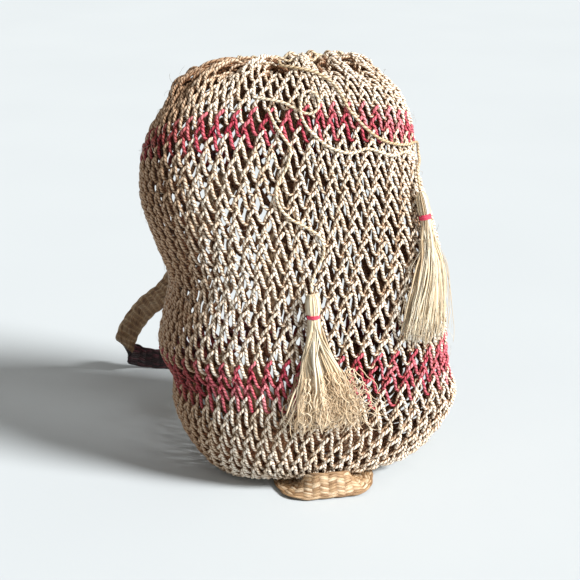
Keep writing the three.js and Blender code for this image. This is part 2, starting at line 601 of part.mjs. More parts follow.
const group = new THREE.Group();
group.add(
  ...netPieces(),
  mouthCord(),
  cordPiece('drawstring_left', CORD_LEFT, TASSELS[0]),
  cordPiece('drawstring_right', CORD_RIGHT, TASSELS[1]),
  cordPiece('drawstring_cross', CORD_CROSS),
  ...TASSELS.flatMap(tasselPieces),
  ...strapPieces('left', LEFT_ROUTE),
  ...strapPieces('right', RIGHT_ROUTE),
);

export default group;
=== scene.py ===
# %% [markdown]
# # A woven straw backpack
# This lesson dresses a CAD frame: a filled-out sack of looped straw cord with two
# dyed stripes, a drawn mouth, tassels and braided straps. Each step says what the real thing is,
# how it could be made in Blender, and why this way was chosen.

# %% The frame
import math

import bpy
import numpy as np
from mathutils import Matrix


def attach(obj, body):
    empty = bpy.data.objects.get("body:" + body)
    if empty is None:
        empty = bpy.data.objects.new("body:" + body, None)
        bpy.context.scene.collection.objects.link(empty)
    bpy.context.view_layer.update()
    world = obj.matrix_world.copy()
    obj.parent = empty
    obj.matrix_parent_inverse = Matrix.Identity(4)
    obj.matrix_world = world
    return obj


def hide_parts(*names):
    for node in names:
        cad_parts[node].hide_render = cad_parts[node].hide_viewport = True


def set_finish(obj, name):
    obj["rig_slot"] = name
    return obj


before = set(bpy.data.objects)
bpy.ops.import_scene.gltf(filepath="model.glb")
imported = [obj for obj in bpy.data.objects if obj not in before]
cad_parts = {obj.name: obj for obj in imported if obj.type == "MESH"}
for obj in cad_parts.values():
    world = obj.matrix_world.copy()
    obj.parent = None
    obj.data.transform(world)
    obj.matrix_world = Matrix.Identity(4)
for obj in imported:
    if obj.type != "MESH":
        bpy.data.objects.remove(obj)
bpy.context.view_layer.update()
MM = 0.001                      # the tables below are in millimetres, Blender's mesh in metres
RNG = np.random.default_rng(27)

# %% [markdown]
# ## The camera
# The sack was seen from slightly above and a little from its left. Matching the lens and the
# place of the camera first means that every later piece can be judged against the same view.
# The distance is short enough for the top to look smaller than the base.

# %% Camera
CAMERA_AZIMUTH = math.radians(-12)
CAMERA_ELEVATION = math.radians(20)
CAMERA_DISTANCE = 1.25
CAMERA_TARGET = np.array([0.0, 0.0, 0.185])
FOCAL_PIXELS = 1344
FRAME_PIXELS = 580
SHIFT_PIXELS = (-8, -22)         # brings the sack to its place in the frame

camera_back = np.array([
    math.sin(CAMERA_AZIMUTH) * math.cos(CAMERA_ELEVATION),
    -math.cos(CAMERA_AZIMUTH) * math.cos(CAMERA_ELEVATION),
    math.sin(CAMERA_ELEVATION),
])
camera_data = bpy.data.cameras.new("camera")
camera_data.sensor_width = 36
camera_data.lens = 36 * FOCAL_PIXELS / FRAME_PIXELS
camera_data.shift_x, camera_data.shift_y = (v / FRAME_PIXELS for v in SHIFT_PIXELS)
camera_data.clip_start = 0.05
camera = bpy.data.objects.new("camera", camera_data)
camera.location = CAMERA_TARGET + camera_back * CAMERA_DISTANCE
camera.rotation_euler = (math.pi / 2 - CAMERA_ELEVATION, 0, CAMERA_AZIMUTH)
bpy.context.scene.collection.objects.link(camera)
bpy.context.scene.camera = camera
print("camera at", [round(v, 3) for v in camera.location])

# %% [markdown]
# ## The sack's form
# The net hangs on one smooth form. A table of sections gives its widths, depths and heights on
# the way from the base's edge to the mouth, and a Hermite curve runs through each column. It
# could be sculpted instead, but a formula lets every cord ask where the cloth is and which way
# it faces. The numbers are the frame's own, so the cords lie where the solids are.

# %% Sections of the sack
HEIGHT, HALF_WIDTH, HALF_DEPTH = 388.0, 145.0, 96.0
HEM_RISE = 14.0                 # how far the base's edge is drawn up at the front
PLEATS, PLEAT_DEPTH = 14, 3.2   # the gathers at the mouth
GATHERED = (0.8, 0.97)          # where they begin, and where they have their full depth
FRAME_STEP = 0.004              # how far apart the places are that give the cloth's directions
UP, TALL, LEFT, RIGHT, FRONT, BACK, LIFT, SQUARE, TURN = range(9)
SECTIONS = np.array([
    [0.00, 0.000, 0.483, 0.524, 0.73, 0.69, 0.000, 2.3, -8],
    [0.03, 0.009, 0.586, 0.634, 0.85, 0.81, 0.000, 2.3, -8],
    [0.07, 0.039, 0.669, 0.814, 0.94, 0.91, 0.000, 2.3, -8],
    [0.12, 0.088, 0.752, 0.938, 0.99, 0.96, 0.005, 2.35, -6],
    [0.18, 0.155, 0.814, 1.034, 1.01, 0.98, 0.015, 2.4, -4],
    [0.23, 0.216, 0.807, 0.986, 1.01, 0.98, 0.031, 2.4, -3],
    [0.30, 0.294, 0.890, 0.959, 0.98, 0.96, 0.039, 2.4, -2],
    [0.37, 0.376, 0.862, 0.945, 0.94, 0.94, 0.044, 2.4, -1],
    [0.45, 0.469, 0.814, 0.924, 0.90, 0.92, 0.049, 2.4, 0],
    [0.53, 0.562, 0.890, 0.869, 0.84, 0.90, 0.054, 2.4, 0],
    [0.61, 0.655, 0.966, 0.786, 0.78, 0.88, 0.062, 2.35, 0],
    [0.69, 0.737, 0.972, 0.731, 0.70, 0.85, 0.072, 2.3, 0],
    [0.77, 0.814, 0.931, 0.703, 0.58, 0.81, 0.080, 2.3, 0],
    [0.84, 0.884, 0.828, 0.634, 0.44, 0.73, 0.070, 2.2, 0],
    [0.90, 0.943, 0.731, 0.497, 0.30, 0.58, 0.044, 2.1, 0],
    [0.95, 0.985, 0.497, 0.379, 0.19, 0.40, 0.015, 2.0, 0],
    [1.00, 0.972, 0.193, 0.138, 0.125, 0.21, 0.000, 2.0, 0],
])
HUMPS = [  # around, up, rise as a share of HEIGHT, reach around, reach up
    (0.60, 0.91, -0.026, 0.09, 0.06),
    (0.72, 0.90, 0.012, 0.03, 0.04),
]
HEM_AROUND, HEM_REACH, HEM_UP, HEM_FLAT = 0.03, 0.22, 0.16, 0.45
UNDERSIDE = 0.16                # the underside's radius, in the net's own measure


def smoothstep(value, low, high):
    """0 below low, 1 above high, and 3t^2 - 2t^3 between."""
    t = np.clip((value - low) / (high - low), 0, 1)
    return t * t * (3 - 2 * t)


def through(column, up):
    """Hermite curve through a column of the table. A row's slope is the step between its two
    neighbours over their distance."""
    u, y = SECTIONS[:, UP], SECTIONS[:, column]
    last = len(u) - 1
    ahead = np.minimum(np.arange(last + 1) + 1, last)
    behind = np.maximum(np.arange(last + 1) - 1, 0)
    slope = (y[ahead] - y[behind]) / (u[ahead] - u[behind])
    row = np.clip(np.searchsorted(u, up, side="right") - 1, 0, last - 1)
    step = u[row + 1] - u[row]
    t = (up - u[row]) / step
    s = smoothstep(t, 0, 1)
    ease_out = slope[row] * t * (1 - t) ** 2
    ease_in = slope[row + 1] * t * t * (1 - t)
    return y[row] * (1 - s) + y[row + 1] * s + step * (ease_out - ease_in)


def form_point(around, up):
    """A point of the sack's outer face: a rounded rectangle, |x|^n + |y|^n = 1, with its own
    half widths to the four sides, lifted at the front and turned a little round +Z."""
    up = np.clip(up, 0, 1)
    angle = np.asarray(around) * 2 * np.pi
    power = 2 / through(SQUARE, up)
    across = np.sign(np.sin(angle)) * np.abs(np.sin(angle)) ** power
    along = np.sign(np.cos(angle)) * np.abs(np.cos(angle)) ** power
    x = across * np.where(across > 0, through(RIGHT, up), through(LEFT, up)) * HALF_WIDTH
    y = -along * np.where(along > 0, through(FRONT, up), through(BACK, up)) * HALF_DEPTH
    z = (through(TALL, up) + through(LIFT, up) * np.cos(angle)) * HEIGHT
    for hump_around, hump_up, rise, wide, tall in HUMPS:
        u = ((around - hump_around + 0.5) % 1 - 0.5) / wide
        v = (up - hump_up) / tall
        z = z + rise * HEIGHT * np.exp(-u * u - v * v)
    away = np.abs((around - HEM_AROUND + 0.5) % 1 - 0.5) / HEM_REACH
    hem = np.where(away < 1, np.cos(np.minimum(away, 1) * np.pi / 2) ** 2, 0)
    z = z + HEM_RISE * hem * np.maximum(1 - up / HEM_UP, 0) ** 2
    turn = np.radians(through(TURN, up))
    return np.stack([
        x * np.cos(turn) - y * np.sin(turn),
        x * np.sin(turn) + y * np.cos(turn),
        z,
    ], axis=-1)


def cloth_point(around, up):
    """The form, carried on below up = 0 across the underside to its middle."""
    around, up = np.broadcast_arrays(np.asarray(around, float), np.asarray(up, float))
    point = form_point(around, up)
    share = np.clip(1 + np.minimum(up, 0) / UNDERSIDE, 0, 1)
    climb = np.maximum((share - HEM_FLAT) / (1 - HEM_FLAT), 0) ** 2
    return point * np.stack([share, share, np.where(up < 0, climb, 1.0)], axis=-1)


def unit(v):
    return v / np.maximum(np.linalg.norm(v, axis=-1, keepdims=True), 1e-9)


def cloth_frame(around, up):
    """Three unit directions of the cloth at a place: across it, up it and out of it."""
    step = FRAME_STEP
    across = cloth_point(around + step, up) - cloth_point(around - step, up)
    rise = (cloth_point(around, np.minimum(up + step, 1))
            - cloth_point(around, np.minimum(up, 1) - step))
    out = unit(np.cross(across, rise))
    across = unit(across)
    return across, np.cross(out, across), out


def on_net(around, up, proud=0.0, pleat_depth=PLEAT_DEPTH):
    """A point that stands off the cloth by proud, with the gathers of the mouth put in as a
    cosine round the sack that fades in over the crown."""
    out = cloth_frame(around, up)[2]
    gather = smoothstep(up, *GATHERED)
    wave = np.cos(around * PLEATS * 2 * np.pi)
    ripple = gather * (PLEAT_DEPTH - pleat_depth + pleat_depth * wave)
    offset = proud + ripple - PLEAT_DEPTH * gather
    return cloth_point(around, up) + out * np.asarray(offset)[..., None]


whole = form_point(np.linspace(0, 1, 120)[:, None], np.linspace(0, 1, 60)[None, :]).reshape(-1, 3)
print("form spans", whole.min(0).round(), whole.max(0).round())

# %% [markdown]
# ## Paths and tubes
# Nearly everything here is something long and thin that follows a path, so two helpers do most
# of the work: a smooth curve through a few points, and a section carried along a curve. Blender
# curves with a bevel would do for plain cord, but a section of our own can twist, taper and
# bring its own UVs. The curve is the same Catmull-Rom curve that made the frame's solids.

# %% Smooth paths
def smooth_path(points, per_span, centripetal=True, closed=False):
    """Catmull-Rom curve through points. The centripetal kind spaces its knots by the square
    root of each chord, and the uniform kind takes half of the step between two neighbours as
    its slope. Each span gives per_span points, at even steps of the parameter."""
    p = np.asarray(points, float)
    if closed:
        p = np.concatenate([p[-1:], p, p[:2]])
    else:
        p = np.concatenate([2 * p[:1] - p[1:2], p, 2 * p[-1:] - p[-2:-1]])
    p0, p1, p2, p3 = p[:-3], p[1:-2], p[2:-1], p[3:]
    if centripetal:
        gap = lambda a, b: np.maximum(np.linalg.norm(b - a, axis=-1, keepdims=True), 1e-6) ** 0.5
        d0, d1, d2 = gap(p0, p1), gap(p1, p2), gap(p2, p3)
        m1 = ((p1 - p0) / d0 - (p2 - p0) / (d0 + d1) + (p2 - p1) / d1) * d1
        m2 = ((p2 - p1) / d1 - (p3 - p1) / (d1 + d2) + (p3 - p2) / d2) * d1
    else:
        m1, m2 = (p2 - p0) / 2, (p3 - p1) / 2
    t = (np.arange(per_span) / per_span)[None, :, None]
    p1, p2, m1, m2 = (a[:, None] for a in (p1, p2, m1, m2))
    curve = (p1 + t * m1 + t ** 2 * (3 * (p2 - p1) - 2 * m1 - m2)
             + t ** 3 * (2 * (p1 - p2) + m1 + m2)).reshape(-1, p.shape[-1])
    return curve if closed else np.concatenate([curve, p[-2:-1]])


def lengths_along(path):
    """Distance from the path's start to each of its points."""
    steps = np.linalg.norm(np.diff(path, axis=0), axis=-1)
    return np.concatenate([[0], np.cumsum(steps)])


def at_lengths(path, wanted, also=()):
    """Points of a path at given distances along it, and the same for arrays that go with it."""
    along = lengths_along(path)
    pick = lambda a: np.stack([np.interp(wanted, along, a[:, k]) for k in range(a.shape[1])], -1)
    return [pick(a) for a in (path, *also)]


# %% Meshes from arrays
def put_mesh(name, points, faces, uv=None, attributes=None):
    """A mesh object from arrays in millimetres. faces is one array or a list of arrays, each
    of faces with the same number of corners, uv has a row for each corner, in the same order,
    and each attribute has a value for each point."""
    groups = [np.asarray(f) for f in (faces if isinstance(faces, list) else [faces])]
    corners = np.concatenate([f.ravel() for f in groups])
    sizes = np.concatenate([np.full(len(f), f.shape[1]) for f in groups])
    mesh = bpy.data.meshes.new(name)
    mesh.vertices.add(len(points))
    mesh.vertices.foreach_set("co", (np.asarray(points) * MM).astype(np.float32).ravel())
    mesh.loops.add(len(corners))
    mesh.loops.foreach_set("vertex_index", corners.astype(np.int32))
    mesh.polygons.add(len(sizes))
    starts = np.concatenate([[0], np.cumsum(sizes)[:-1]])
    mesh.polygons.foreach_set("loop_start", starts.astype(np.int32))
    mesh.update(calc_edges=True)
    if uv is not None:
        layer = mesh.uv_layers.new(name="UVMap")
        layer.data.foreach_set("uv", np.asarray(uv, np.float32).ravel())
    for key, values in (attributes or {}).items():
        layer = mesh.attributes.new(key, "FLOAT", "POINT")
        layer.data.foreach_set("value", np.asarray(values, np.float32).ravel())
    mesh.polygons.foreach_set("use_smooth", np.full(len(sizes), True))
    mesh.update()
    made = bpy.data.objects.new(name, mesh)
    bpy.context.scene.collection.objects.link(made)
    return made


def tubes(paths, sideways, radius, sides, turns, closed=False, lobes=0.0, flat=1.0):
    """Round or two-lobed sections carried along many paths at once. paths is (count, steps,
    3), sideways a direction at each step that the section's first axis leans to, radius one
    value a step, turns the section's twist there. lobes pinches the section to two plies.
    Returns points, faces, corner UVs (u round the cord, v in turns of twist)."""
    count, steps = paths.shape[:2]
    ahead = np.roll(paths, -1, 1) - np.roll(paths, 1, 1)
    if not closed:
        ahead[:, 0] = paths[:, 1] - paths[:, 0]
        ahead[:, -1] = paths[:, -1] - paths[:, -2]
    ahead = unit(ahead)
    first = unit(sideways - ahead * (sideways * ahead).sum(-1, keepdims=True))
    second = np.cross(ahead, first)
    angle = np.arange(sides) / sides * 2 * np.pi
    turns = np.broadcast_to(turns, (count, steps))
    radius = np.broadcast_to(radius, (count, steps))
    if lobes:
        swell = 1 - lobes * (1 - np.abs(np.cos(angle + 2 * np.pi * turns[..., None])))
    else:
        swell = np.ones((count, steps, sides))
    reach = radius[..., None] * swell
    points = (paths[:, :, None] + first[:, :, None] * (reach * np.cos(angle))[..., None]
              + second[:, :, None] * (reach * np.sin(angle) * flat)[..., None])
    rings = steps if closed else steps - 1
    i, j = np.meshgrid(np.arange(rings), np.arange(sides), indexing="ij")
    nexti, nextj = (i + 1) % steps, (j + 1) % sides
    one = np.stack([i * sides + j, i * sides + nextj, nexti * sides + nextj, nexti * sides + j], -1)
    faces = one.reshape(1, -1, 4) + (np.arange(count) * steps * sides)[:, None, None]
    along = np.concatenate([turns, turns[:, -1:] + (turns[:, -1:] - turns[:, -2:-1])], 1)
    along[:, -1] = np.where(closed, np.round(along[:, -1]), along[:, -1])
    u = np.stack([j, j + 1, j + 1, j], -1) / sides
    v = along[:, np.stack([i, i, i + 1, i + 1], -1)]
    uv = np.stack([np.broadcast_to(u, v.shape), v], -1)
    groups, uvs = [faces.reshape(-1, 4)], [uv.reshape(-1, 2)]
    if not closed:
        base = (np.arange(count) * steps * sides)[:, None]
        start = base + np.arange(sides)[::-1]
        end = base + (steps - 1) * sides + np.arange(sides)
        groups.append(np.concatenate([start, end]))
        uvs.append(np.zeros((2 * count * sides, 2)))
    return points.reshape(-1, 3), groups, np.concatenate(uvs)


def merged(parts):
    """Several (points, faces, uv, attributes) as one."""
    offset, points, by_size = 0, [], {}
    for p, groups, uv, attributes in parts:
        at = 0
        for f in groups:
            size = f.shape[1]
            by_size.setdefault(size, []).append((f + offset, uv[at:at + f.size]))
            at += f.size
        points.append(p)
        offset += len(p)
    faces = [np.concatenate([f for f, _ in rows]) for rows in by_size.values()]
    uv = np.concatenate([u for rows in by_size.values() for _, u in rows])
    keys = parts[0][3].keys()
    attributes = {k: np.concatenate([part[3][k] for part in parts]) for k in keys}
    return np.concatenate(points), faces, uv, attributes


def even_finish(points, tone, **more):
    """Attributes of a straw that lies open all over: its tone, and full light."""
    return {"tone": np.broadcast_to(tone, len(points)), "shade": np.ones(len(points)), **more}


def dressed(made, *nodes, slot):
    """Hands a finished piece to the frame: it rides on the body, stands for its CAD nodes and
    names the slot that its finish comes from."""
    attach(made, "root")
    if nodes:
        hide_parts(*nodes)
    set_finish(made, slot)
    triangles = sum(len(p.vertices) - 2 for p in made.data.polygons)
    print(made.name, "triangles", triangles)
    return made


# %% [markdown]
# ## The drawstring
# A thin twisted straw cord gathers the mouth, and its two ends hang down over the front, each
# to a tassel. It could be a bevelled curve, but two plies that wind round each other catch the
# light in slanting beads, and that shows at this size. So the section is pinched to two lobes
# and turned as it goes. The points lie on the cloth, by place round it, place up it and
# stand-off in cord thicknesses.

# %% Routes of the cords
CORD = 2.6                      # the drawstring's diameter
CORD_LAY = 8.5                  # length of one full twist of its plies
CORD_LEFT = [
    (-0.038, 0.782, 0.9), (-0.035, 0.768, 1.0), (-0.031, 0.748, 1.1), (-0.024, 0.723, 1.1),
    (-0.018, 0.700, 1.1), (-0.021, 0.667, 1.1), (-0.030, 0.633, 1.1), (-0.031, 0.610, 1.1),
    (-0.028, 0.591, 1.1), (-0.020, 0.572, 1.1), (-0.008, 0.556, 1.1), (0.001, 0.536, 1.1),
    (0.003, 0.508, 1.1), (-0.002, 0.474, 1.2), (-0.006, 0.452, 2.2),
]
CORD_RIGHT = [
    (-0.037, 0.925, 1.0), (-0.028, 0.896, 1.2), (-0.014, 0.880, 1.2), (0.010, 0.858, 1.2),
    (0.028, 0.834, 1.1), (0.037, 0.800, 1.1), (0.043, 0.770, 1.1), (0.053, 0.750, 1.1),
    (0.066, 0.731, 1.1), (0.088, 0.712, 1.2), (0.115, 0.704, 1.2), (0.150, 0.706, 1.2),
    (0.185, 0.716, 1.4), (0.212, 0.716, 1.6), (0.222, 0.698, 1.6), (0.210, 0.680, 1.5),
    (0.187, 0.667, 1.5), (0.166, 0.648, 1.6),
]
CORD_CROSS = [
    (-0.050, 0.805, 0.85), (-0.035, 0.797, 1.2), (-0.022, 0.788, 1.4), (-0.011, 0.773, 1.4),
    (-0.002, 0.763, 1.5), (0.004, 0.771, 1.9), (0.006, 0.787, 2.0), (0.004, 0.803, 1.7),
    (-0.001, 0.811, 1.5), (-0.006, 0.804, 1.6), (-0.008, 0.787, 2.2), (-0.009, 0.769, 2.85),
    (-0.007, 0.752, 1.9), (-0.003, 0.734, 1.0), (0.004, 0.713, 0.85), (0.015, 0.697, 0.85),
    (0.025, 0.690, 0.85), (0.037, 0.685, 0.85), (0.049, 0.687, 0.85),
    (0.062, 0.693, 0.85), (0.076, 0.690, 0.85), (0.090, 0.684, 0.85), (0.108, 0.680, 0.85),
    (0.124, 0.684, 0.85), (0.139, 0.689, 0.85), (0.158, 0.686, 0.85),
]
MOUTH_CORD_UP = 0.972
CLEAR = 0.4                     # the gap that the frame's solids keep
MOUTH_POINTS = 28

# %% Tassel places
HEAD_HALF = 6.0                 # half of the head's width
TASSEL_OFF = HEAD_HALF + 1.2 + CLEAR * 3   # from the cloth to the tassel's middle line
TASSELS = {
    "left": dict(long=128.0, spread=27.0, start=(-0.006, 0.436), end=(0.006, 0.165)),
    "right": dict(long=136.0, spread=22.0, start=(0.143, 0.605), end=(0.110, 0.315)),
}


def tassel_frame(tassel, share):
    """Centre of a tassel at a share of its length, with the directions down it, across it and
    out of the cloth. Its middle line is straight in the cloth's own measure."""
    start, end = tassel["start"], tassel["end"]
    on_cloth = lambda s: [a + (b - a) * s for a, b in zip(start, end)]
    place = lambda s: on_net(*on_cloth(s), TASSEL_OFF)
    whole = np.linalg.norm(place(np.array(1.0)) - place(np.array(0.0)))
    s = np.asarray(share, float) * tassel["long"] / whole
    centre = place(s)
    down = unit(place(s + 0.02) - place(s - 0.02))
    out = cloth_frame(*on_cloth(s))[2]
    out = unit(out - down * (out * down).sum(-1, keepdims=True))
    return centre, down, np.cross(down, out), out


def cord_points(route, tassel=None):
    """The route's points on the cloth, and the tassel's head where the cord ends in one."""
    route = np.array(route)
    points = on_net(route[:, 0], route[:, 1], route[:, 2] * CORD)
    if tassel:
        centre, down, _, _ = tassel_frame(tassel, -0.005)
        points = np.concatenate([points, [centre - down * CLEAR * 2]])
    return points


# %% Twisted cords
CORD_MIDDLE = np.array([0.0, 0.0, 190.0])   # inside the sack: sections lean away from it
CORD_STEP = 0.8


def twisted_cord(points, closed=False, sides=12, lobes=0.3):
    """One two-ply cord along points: a pinched section that turns once in each lay. Pinching
    takes some of its girth, so its radius is a little over half of the cord's diameter."""
    fine = smooth_path(points, 24, closed=closed)
    if closed:
        fine = np.concatenate([fine, fine[:1]])
    total = lengths_along(fine)[-1]
    count = int(round(total / CORD_STEP))
    wanted = np.arange(count if closed else count + 1) * total / count
    path = at_lengths(fine, wanted)[0]
    turns = np.arange(len(wanted)) * (round(total / CORD_LAY) / count)
    return path, total, tubes(
        path[None], unit(path - CORD_MIDDLE)[None], CORD / 2 * (1 + lobes * 0.2), sides,
        turns[None], closed=closed, lobes=lobes,
    )


def cord_piece(name, node, route, tone, tassel=None):
    """A free end of the drawstring, handed to the frame."""
    path, total, (points, faces, uv) = twisted_cord(cord_points(route, tassel))
    made = dressed(put_mesh(name, points, faces, uv, even_finish(points, tone)), node, slot="cord")
    print(name, "is", round(total), "mm long")
    return made


cords = [
    cord_piece("drawstring_left_end", "drawstring_left", CORD_LEFT, 0.8, TASSELS["left"]),
    cord_piece("drawstring_right_end", "drawstring_right", CORD_RIGHT, 0.3, TASSELS["right"]),
    cord_piece("drawstring_cross_run", "drawstring_cross", CORD_CROSS, 1.0),
]

# %% The cord round the mouth
mouth_around = np.arange(MOUTH_POINTS) / MOUTH_POINTS
mouth_points = on_net(mouth_around, np.full(MOUTH_POINTS, MOUTH_CORD_UP), CORD / 2 + CLEAR * 5)
_, mouth_length, (points, faces, uv) = twisted_cord(mouth_points, closed=True)
mouth_cord = put_mesh("mouth_drawstring", points, faces, uv, even_finish(points, 0.6))
cords.append(dressed(mouth_cord, "mouth_cord", slot="cord"))
print("mouth cord is", round(mouth_length), "mm round")

# %% [markdown]
# ## One stitch of the net
# The sack is one long cord looped into itself without knots. Each stitch climbs on its left
# leg, goes over the cords of the row above as a short stub, turns behind them, comes out under
# its own left leg and drops on a longer right leg to the next valley, nearly two rows down. A
# cloth texture would be quicker, but here the gaps are real and the loops cast shadows on each
# other. The path below is one stitch: across in columns, up in rows, out in half cords.

# %% The stitch's path
NET_CORD = 2.75                 # diameter of the net's cord
COLUMN, ROW = 16.0, 11.0        # the stitch's usual size, for spacing its points evenly
STITCH = np.array([
    (-0.42, -1.80, -0.4), (-0.31, -1.66, -1.0), (-0.26, -1.38, -1.5), (-0.22, -1.02, -1.7),
    (-0.17, -0.66, -1.3), (-0.10, -0.33, -0.1), (-0.02, -0.05, 1.1), (0.10, 0.14, 1.6),
    (0.25, 0.31, 1.5), (0.34, 0.45, 0.7), (0.31, 0.51, -0.5), (0.18, 0.43, -1.4),
    (0.05, 0.23, -1.5), (0.00, 0.03, -0.9), (0.06, -0.19, 0.1), (0.12, -0.46, 0.9),
    (0.17, -0.80, 1.5), (0.21, -1.14, 1.5), (0.25, -1.46, 1.0), (0.37, -1.73, 0.2),
])
STITCH_STEPS = 24


def even_stitch():
    """The stitch's path as STITCH_STEPS evenly spaced places, closed by a step of one column
    to the right."""
    step = np.array([1.0, 0.0, 0.0])
    points = np.concatenate([STITCH[-2:] - step, STITCH, STITCH[:3] + step])
    size, per_span = [COLUMN, ROW, NET_CORD / 2], 16
    fine = smooth_path(points * size, per_span)[2 * per_span:-2 * per_span]
    total = lengths_along(fine)[-1]
    wanted = np.arange(STITCH_STEPS) * total / STITCH_STEPS
    return at_lengths(fine, wanted)[0] / size, total


stitch_path, stitch_length = even_stitch()
print("one stitch takes", round(stitch_length), "mm of cord")

# %% [markdown]
# ## Rows of stitches
# A row is the stitch repeated round the sack, and each row sits a quarter of a column to the
# side of the one above, which is what looping into the second row above does. Every stitch is
# pulled a little differently, so its legs sway, and the cord is thicker and thinner along its
# length. All rows of a ring are worked out at once as arrays.

# %% Even columns
EVEN_UP = 0.45                  # the height at which the columns come out equally wide
even_around = np.linspace(0, 1, 721)
even_share = lengths_along(form_point(even_around, np.full(len(even_around), EVEN_UP)))
print("the sack is", round(even_share[-1]), "mm round")
even_share /= even_share[-1]
STRETCH, NARROW_AT = 0.20, -0.14   # how far the columns' widths differ, and where they are least
even_share += STRETCH / (4 * np.pi) * (
    np.sin(4 * np.pi * (even_share - NARROW_AT)) + np.sin(4 * np.pi * NARROW_AT)
)


def round_place(share):
    """Turns round the form for a share of all columns. Columns keep to the length round the
    sack, but a sine with two waves pulls them wider and narrower, as a stretched net does."""
    whole = np.floor(share)
    return whole + np.interp(share - whole, even_share, even_around)


# %% Rows
NET_COLUMNS = 48
ROW_UP = 0.0238                 # one row, in the net's measure
ROW_SHIFT = -0.27               # sideways step from one row to the row below, in columns
NET_DEPTH = -1.3                # where the cords' middle lies under the form's outer face
NET_LAY = 6.2                   # length of one full twist of the net's two plies
NET_PLEAT = 9.0                 # how deep the net's gathers at the mouth are
TOP_ROW = 0.988
BACK_THICKER = 0.42             # the net closes up behind
UNEVEN = 0.08                   # how much the cord's thickness comes and goes
PULL_ACROSS, PULL_UP = (0.05, 0.035), (0.07, 0.05)   # uneven pull, in half and whole waves
PULL_OUT = 0.12
SECTION_LEAN = np.array([0.6, -0.45, 0.66])  # a direction that no part of the stitch runs along
CHANNELS = [(-26.0, 17.0), (47.0, 17.0)]     # where the strap runs under the base: middle, reach
CHANNEL_HIGH = 4.8
SIDE_SHADE, SIDE_SHADE_AT, SIDE_SHADE_REACH = 0.58, -0.26, 0.17   # painted shade on one side of the sack: how much, where its middle is, how far it reaches
                                                # much, where its middle is, how far it reaches

row_ups = TOP_ROW - np.arange(int((TOP_ROW + UNDERSIDE * 0.86) / ROW_UP)) * ROW_UP
print("rows:", len(row_ups))

# %% Where a row's cord runs
def row_columns(up):
    """How many stitches a row has: fewer across the underside, where the rows get short."""
    share = 1 + min(up, 0) / UNDERSIDE
    return NET_COLUMNS if share > 0.8 else 28 if share > 0.5 else 18 if share > 0.3 else 10


def off_middle(around, middle):
    """Turns from a place round the sack to another, the short way."""
    return np.abs((around - middle + 0.5) % 1 - 0.5)


def row_stitches(row, columns):
    """Places round the sack and up it, and stand-off in half cords, of a row's cord. Each
    stitch is pulled unevenly, by random shares of half a sine wave and a whole one along it,
    and the row rises and falls in five waves round the sack."""
    across, rise, stand = (stitch_path[:, k][None, :] for k in range(3))
    sway = RNG.normal(0, 1, (4, columns, 1))
    way = np.arange(STITCH_STEPS) / STITCH_STEPS * np.pi
    half, full = np.sin(way)[None, :], np.sin(way * 2)[None, :]
    a = across + PULL_ACROSS[0] * sway[0] * half + PULL_ACROSS[1] * sway[1] * full
    b = rise + PULL_UP[0] * sway[2] * half + PULL_UP[1] * sway[3] * full
    h = stand * (1 + PULL_OUT * RNG.normal(0, 1, (columns, 1)))
    shift = (row * ROW_SHIFT) % 1
    around = round_place((np.arange(columns)[:, None] + shift + a) / columns)
    wave = 0.12 * ROW_UP * np.sin(around * 2 * np.pi * 5 + row * 0.7)
    return around, np.minimum(row_ups[row] + b * ROW_UP + wave, 0.9995), h


def over_channels(path):
    """Lifts the underside's cords off the floor, and higher where the strap runs below."""
    lane = 1.0 - np.minimum.reduce([np.abs(path[..., 0] - x) / reach for x, reach in CHANNELS])
    floor = NET_CORD / 2 + 0.1 + CHANNEL_HIGH * smoothstep(lane, 0.0, 0.35)
    path[..., 2] = np.maximum(path[..., 2], floor)
    return path

# %% The cord's thickness and its light
def open_light(around, ups, h, facing):
    """Painted shade: how open to the light the cord lies, from 0 to 1. It grows with how far a side
    faces out and with the cord's stand-off, and falls in the crown's folds and on one side of the
    sack."""
    fold = smoothstep(ups, *GATHERED) * (0.5 - 0.5 * np.cos(around * PLEATS * 2 * np.pi))
    deep = 0.24 * np.clip(h, -1.2, 1.1).reshape(-1, 1) - 0.36 * fold.reshape(-1, 1)
    # painted shade, darker on one side of the sack
    side_shade = 1 - SIDE_SHADE * smoothstep(SIDE_SHADE_REACH - off_middle(around, SIDE_SHADE_AT), 0, 0.09)
    return np.clip((0.34 + 0.42 * facing + deep) * side_shade.reshape(-1, 1), 0, 1)


def cord_thickness(around, ups, h, steps):
    """The cord's radius: slow random waves, more where it stands out, and more behind."""
    every = 9
    slow = RNG.normal(0, 1, steps // every + 2)
    slow = np.interp(np.arange(steps) / every, np.arange(len(slow)), slow)
    back = smoothstep(off_middle(around, 0), 0.25, 0.42) * smoothstep(ups, 0.03, 0.12)
    thick = NET_CORD / 2 * (1 + UNEVEN * slow) * (1 + 0.12 * np.clip(h, -1, 1).ravel())
    return thick * (1 + BACK_THICKER * back.ravel())

# %% One row
def net_row(row, sides=6):
    """Mesh arrays of one row, a closed cord round the sack."""
    columns = row_columns(row_ups[row])
    around, ups, h = row_stitches(row, columns)
    path = over_channels(on_net(around, ups, NET_DEPTH + h * NET_CORD / 2, NET_PLEAT))
    directions = cloth_frame(around, ups)
    lean = sum(direction * share for direction, share in zip(directions, SECTION_LEAN))
    path, lean, out = (v.reshape(1, -1, 3) for v in (path, lean, directions[2]))
    steps = path.shape[1]
    turns = np.arange(steps) / steps * round(lengths_along(path[0])[-1] / NET_LAY)
    thick = cord_thickness(around, ups, h, steps)
    points, faces, uv = tubes(path, lean, thick[None], sides, turns[None], closed=True)
    ring = points.reshape(steps, sides, 3) - path[0][:, None]
    facing = (ring * out[0][:, None]).sum(-1) / thick[:, None]
    shade = open_light(around, ups, h, facing)
    tone = RNG.uniform(0, 1, columns) * 0.6 + RNG.uniform(0, 0.4)
    tone = np.repeat(tone, STITCH_STEPS * sides)
    return points, faces, uv, {"tone": tone, "shade": shade.ravel()}


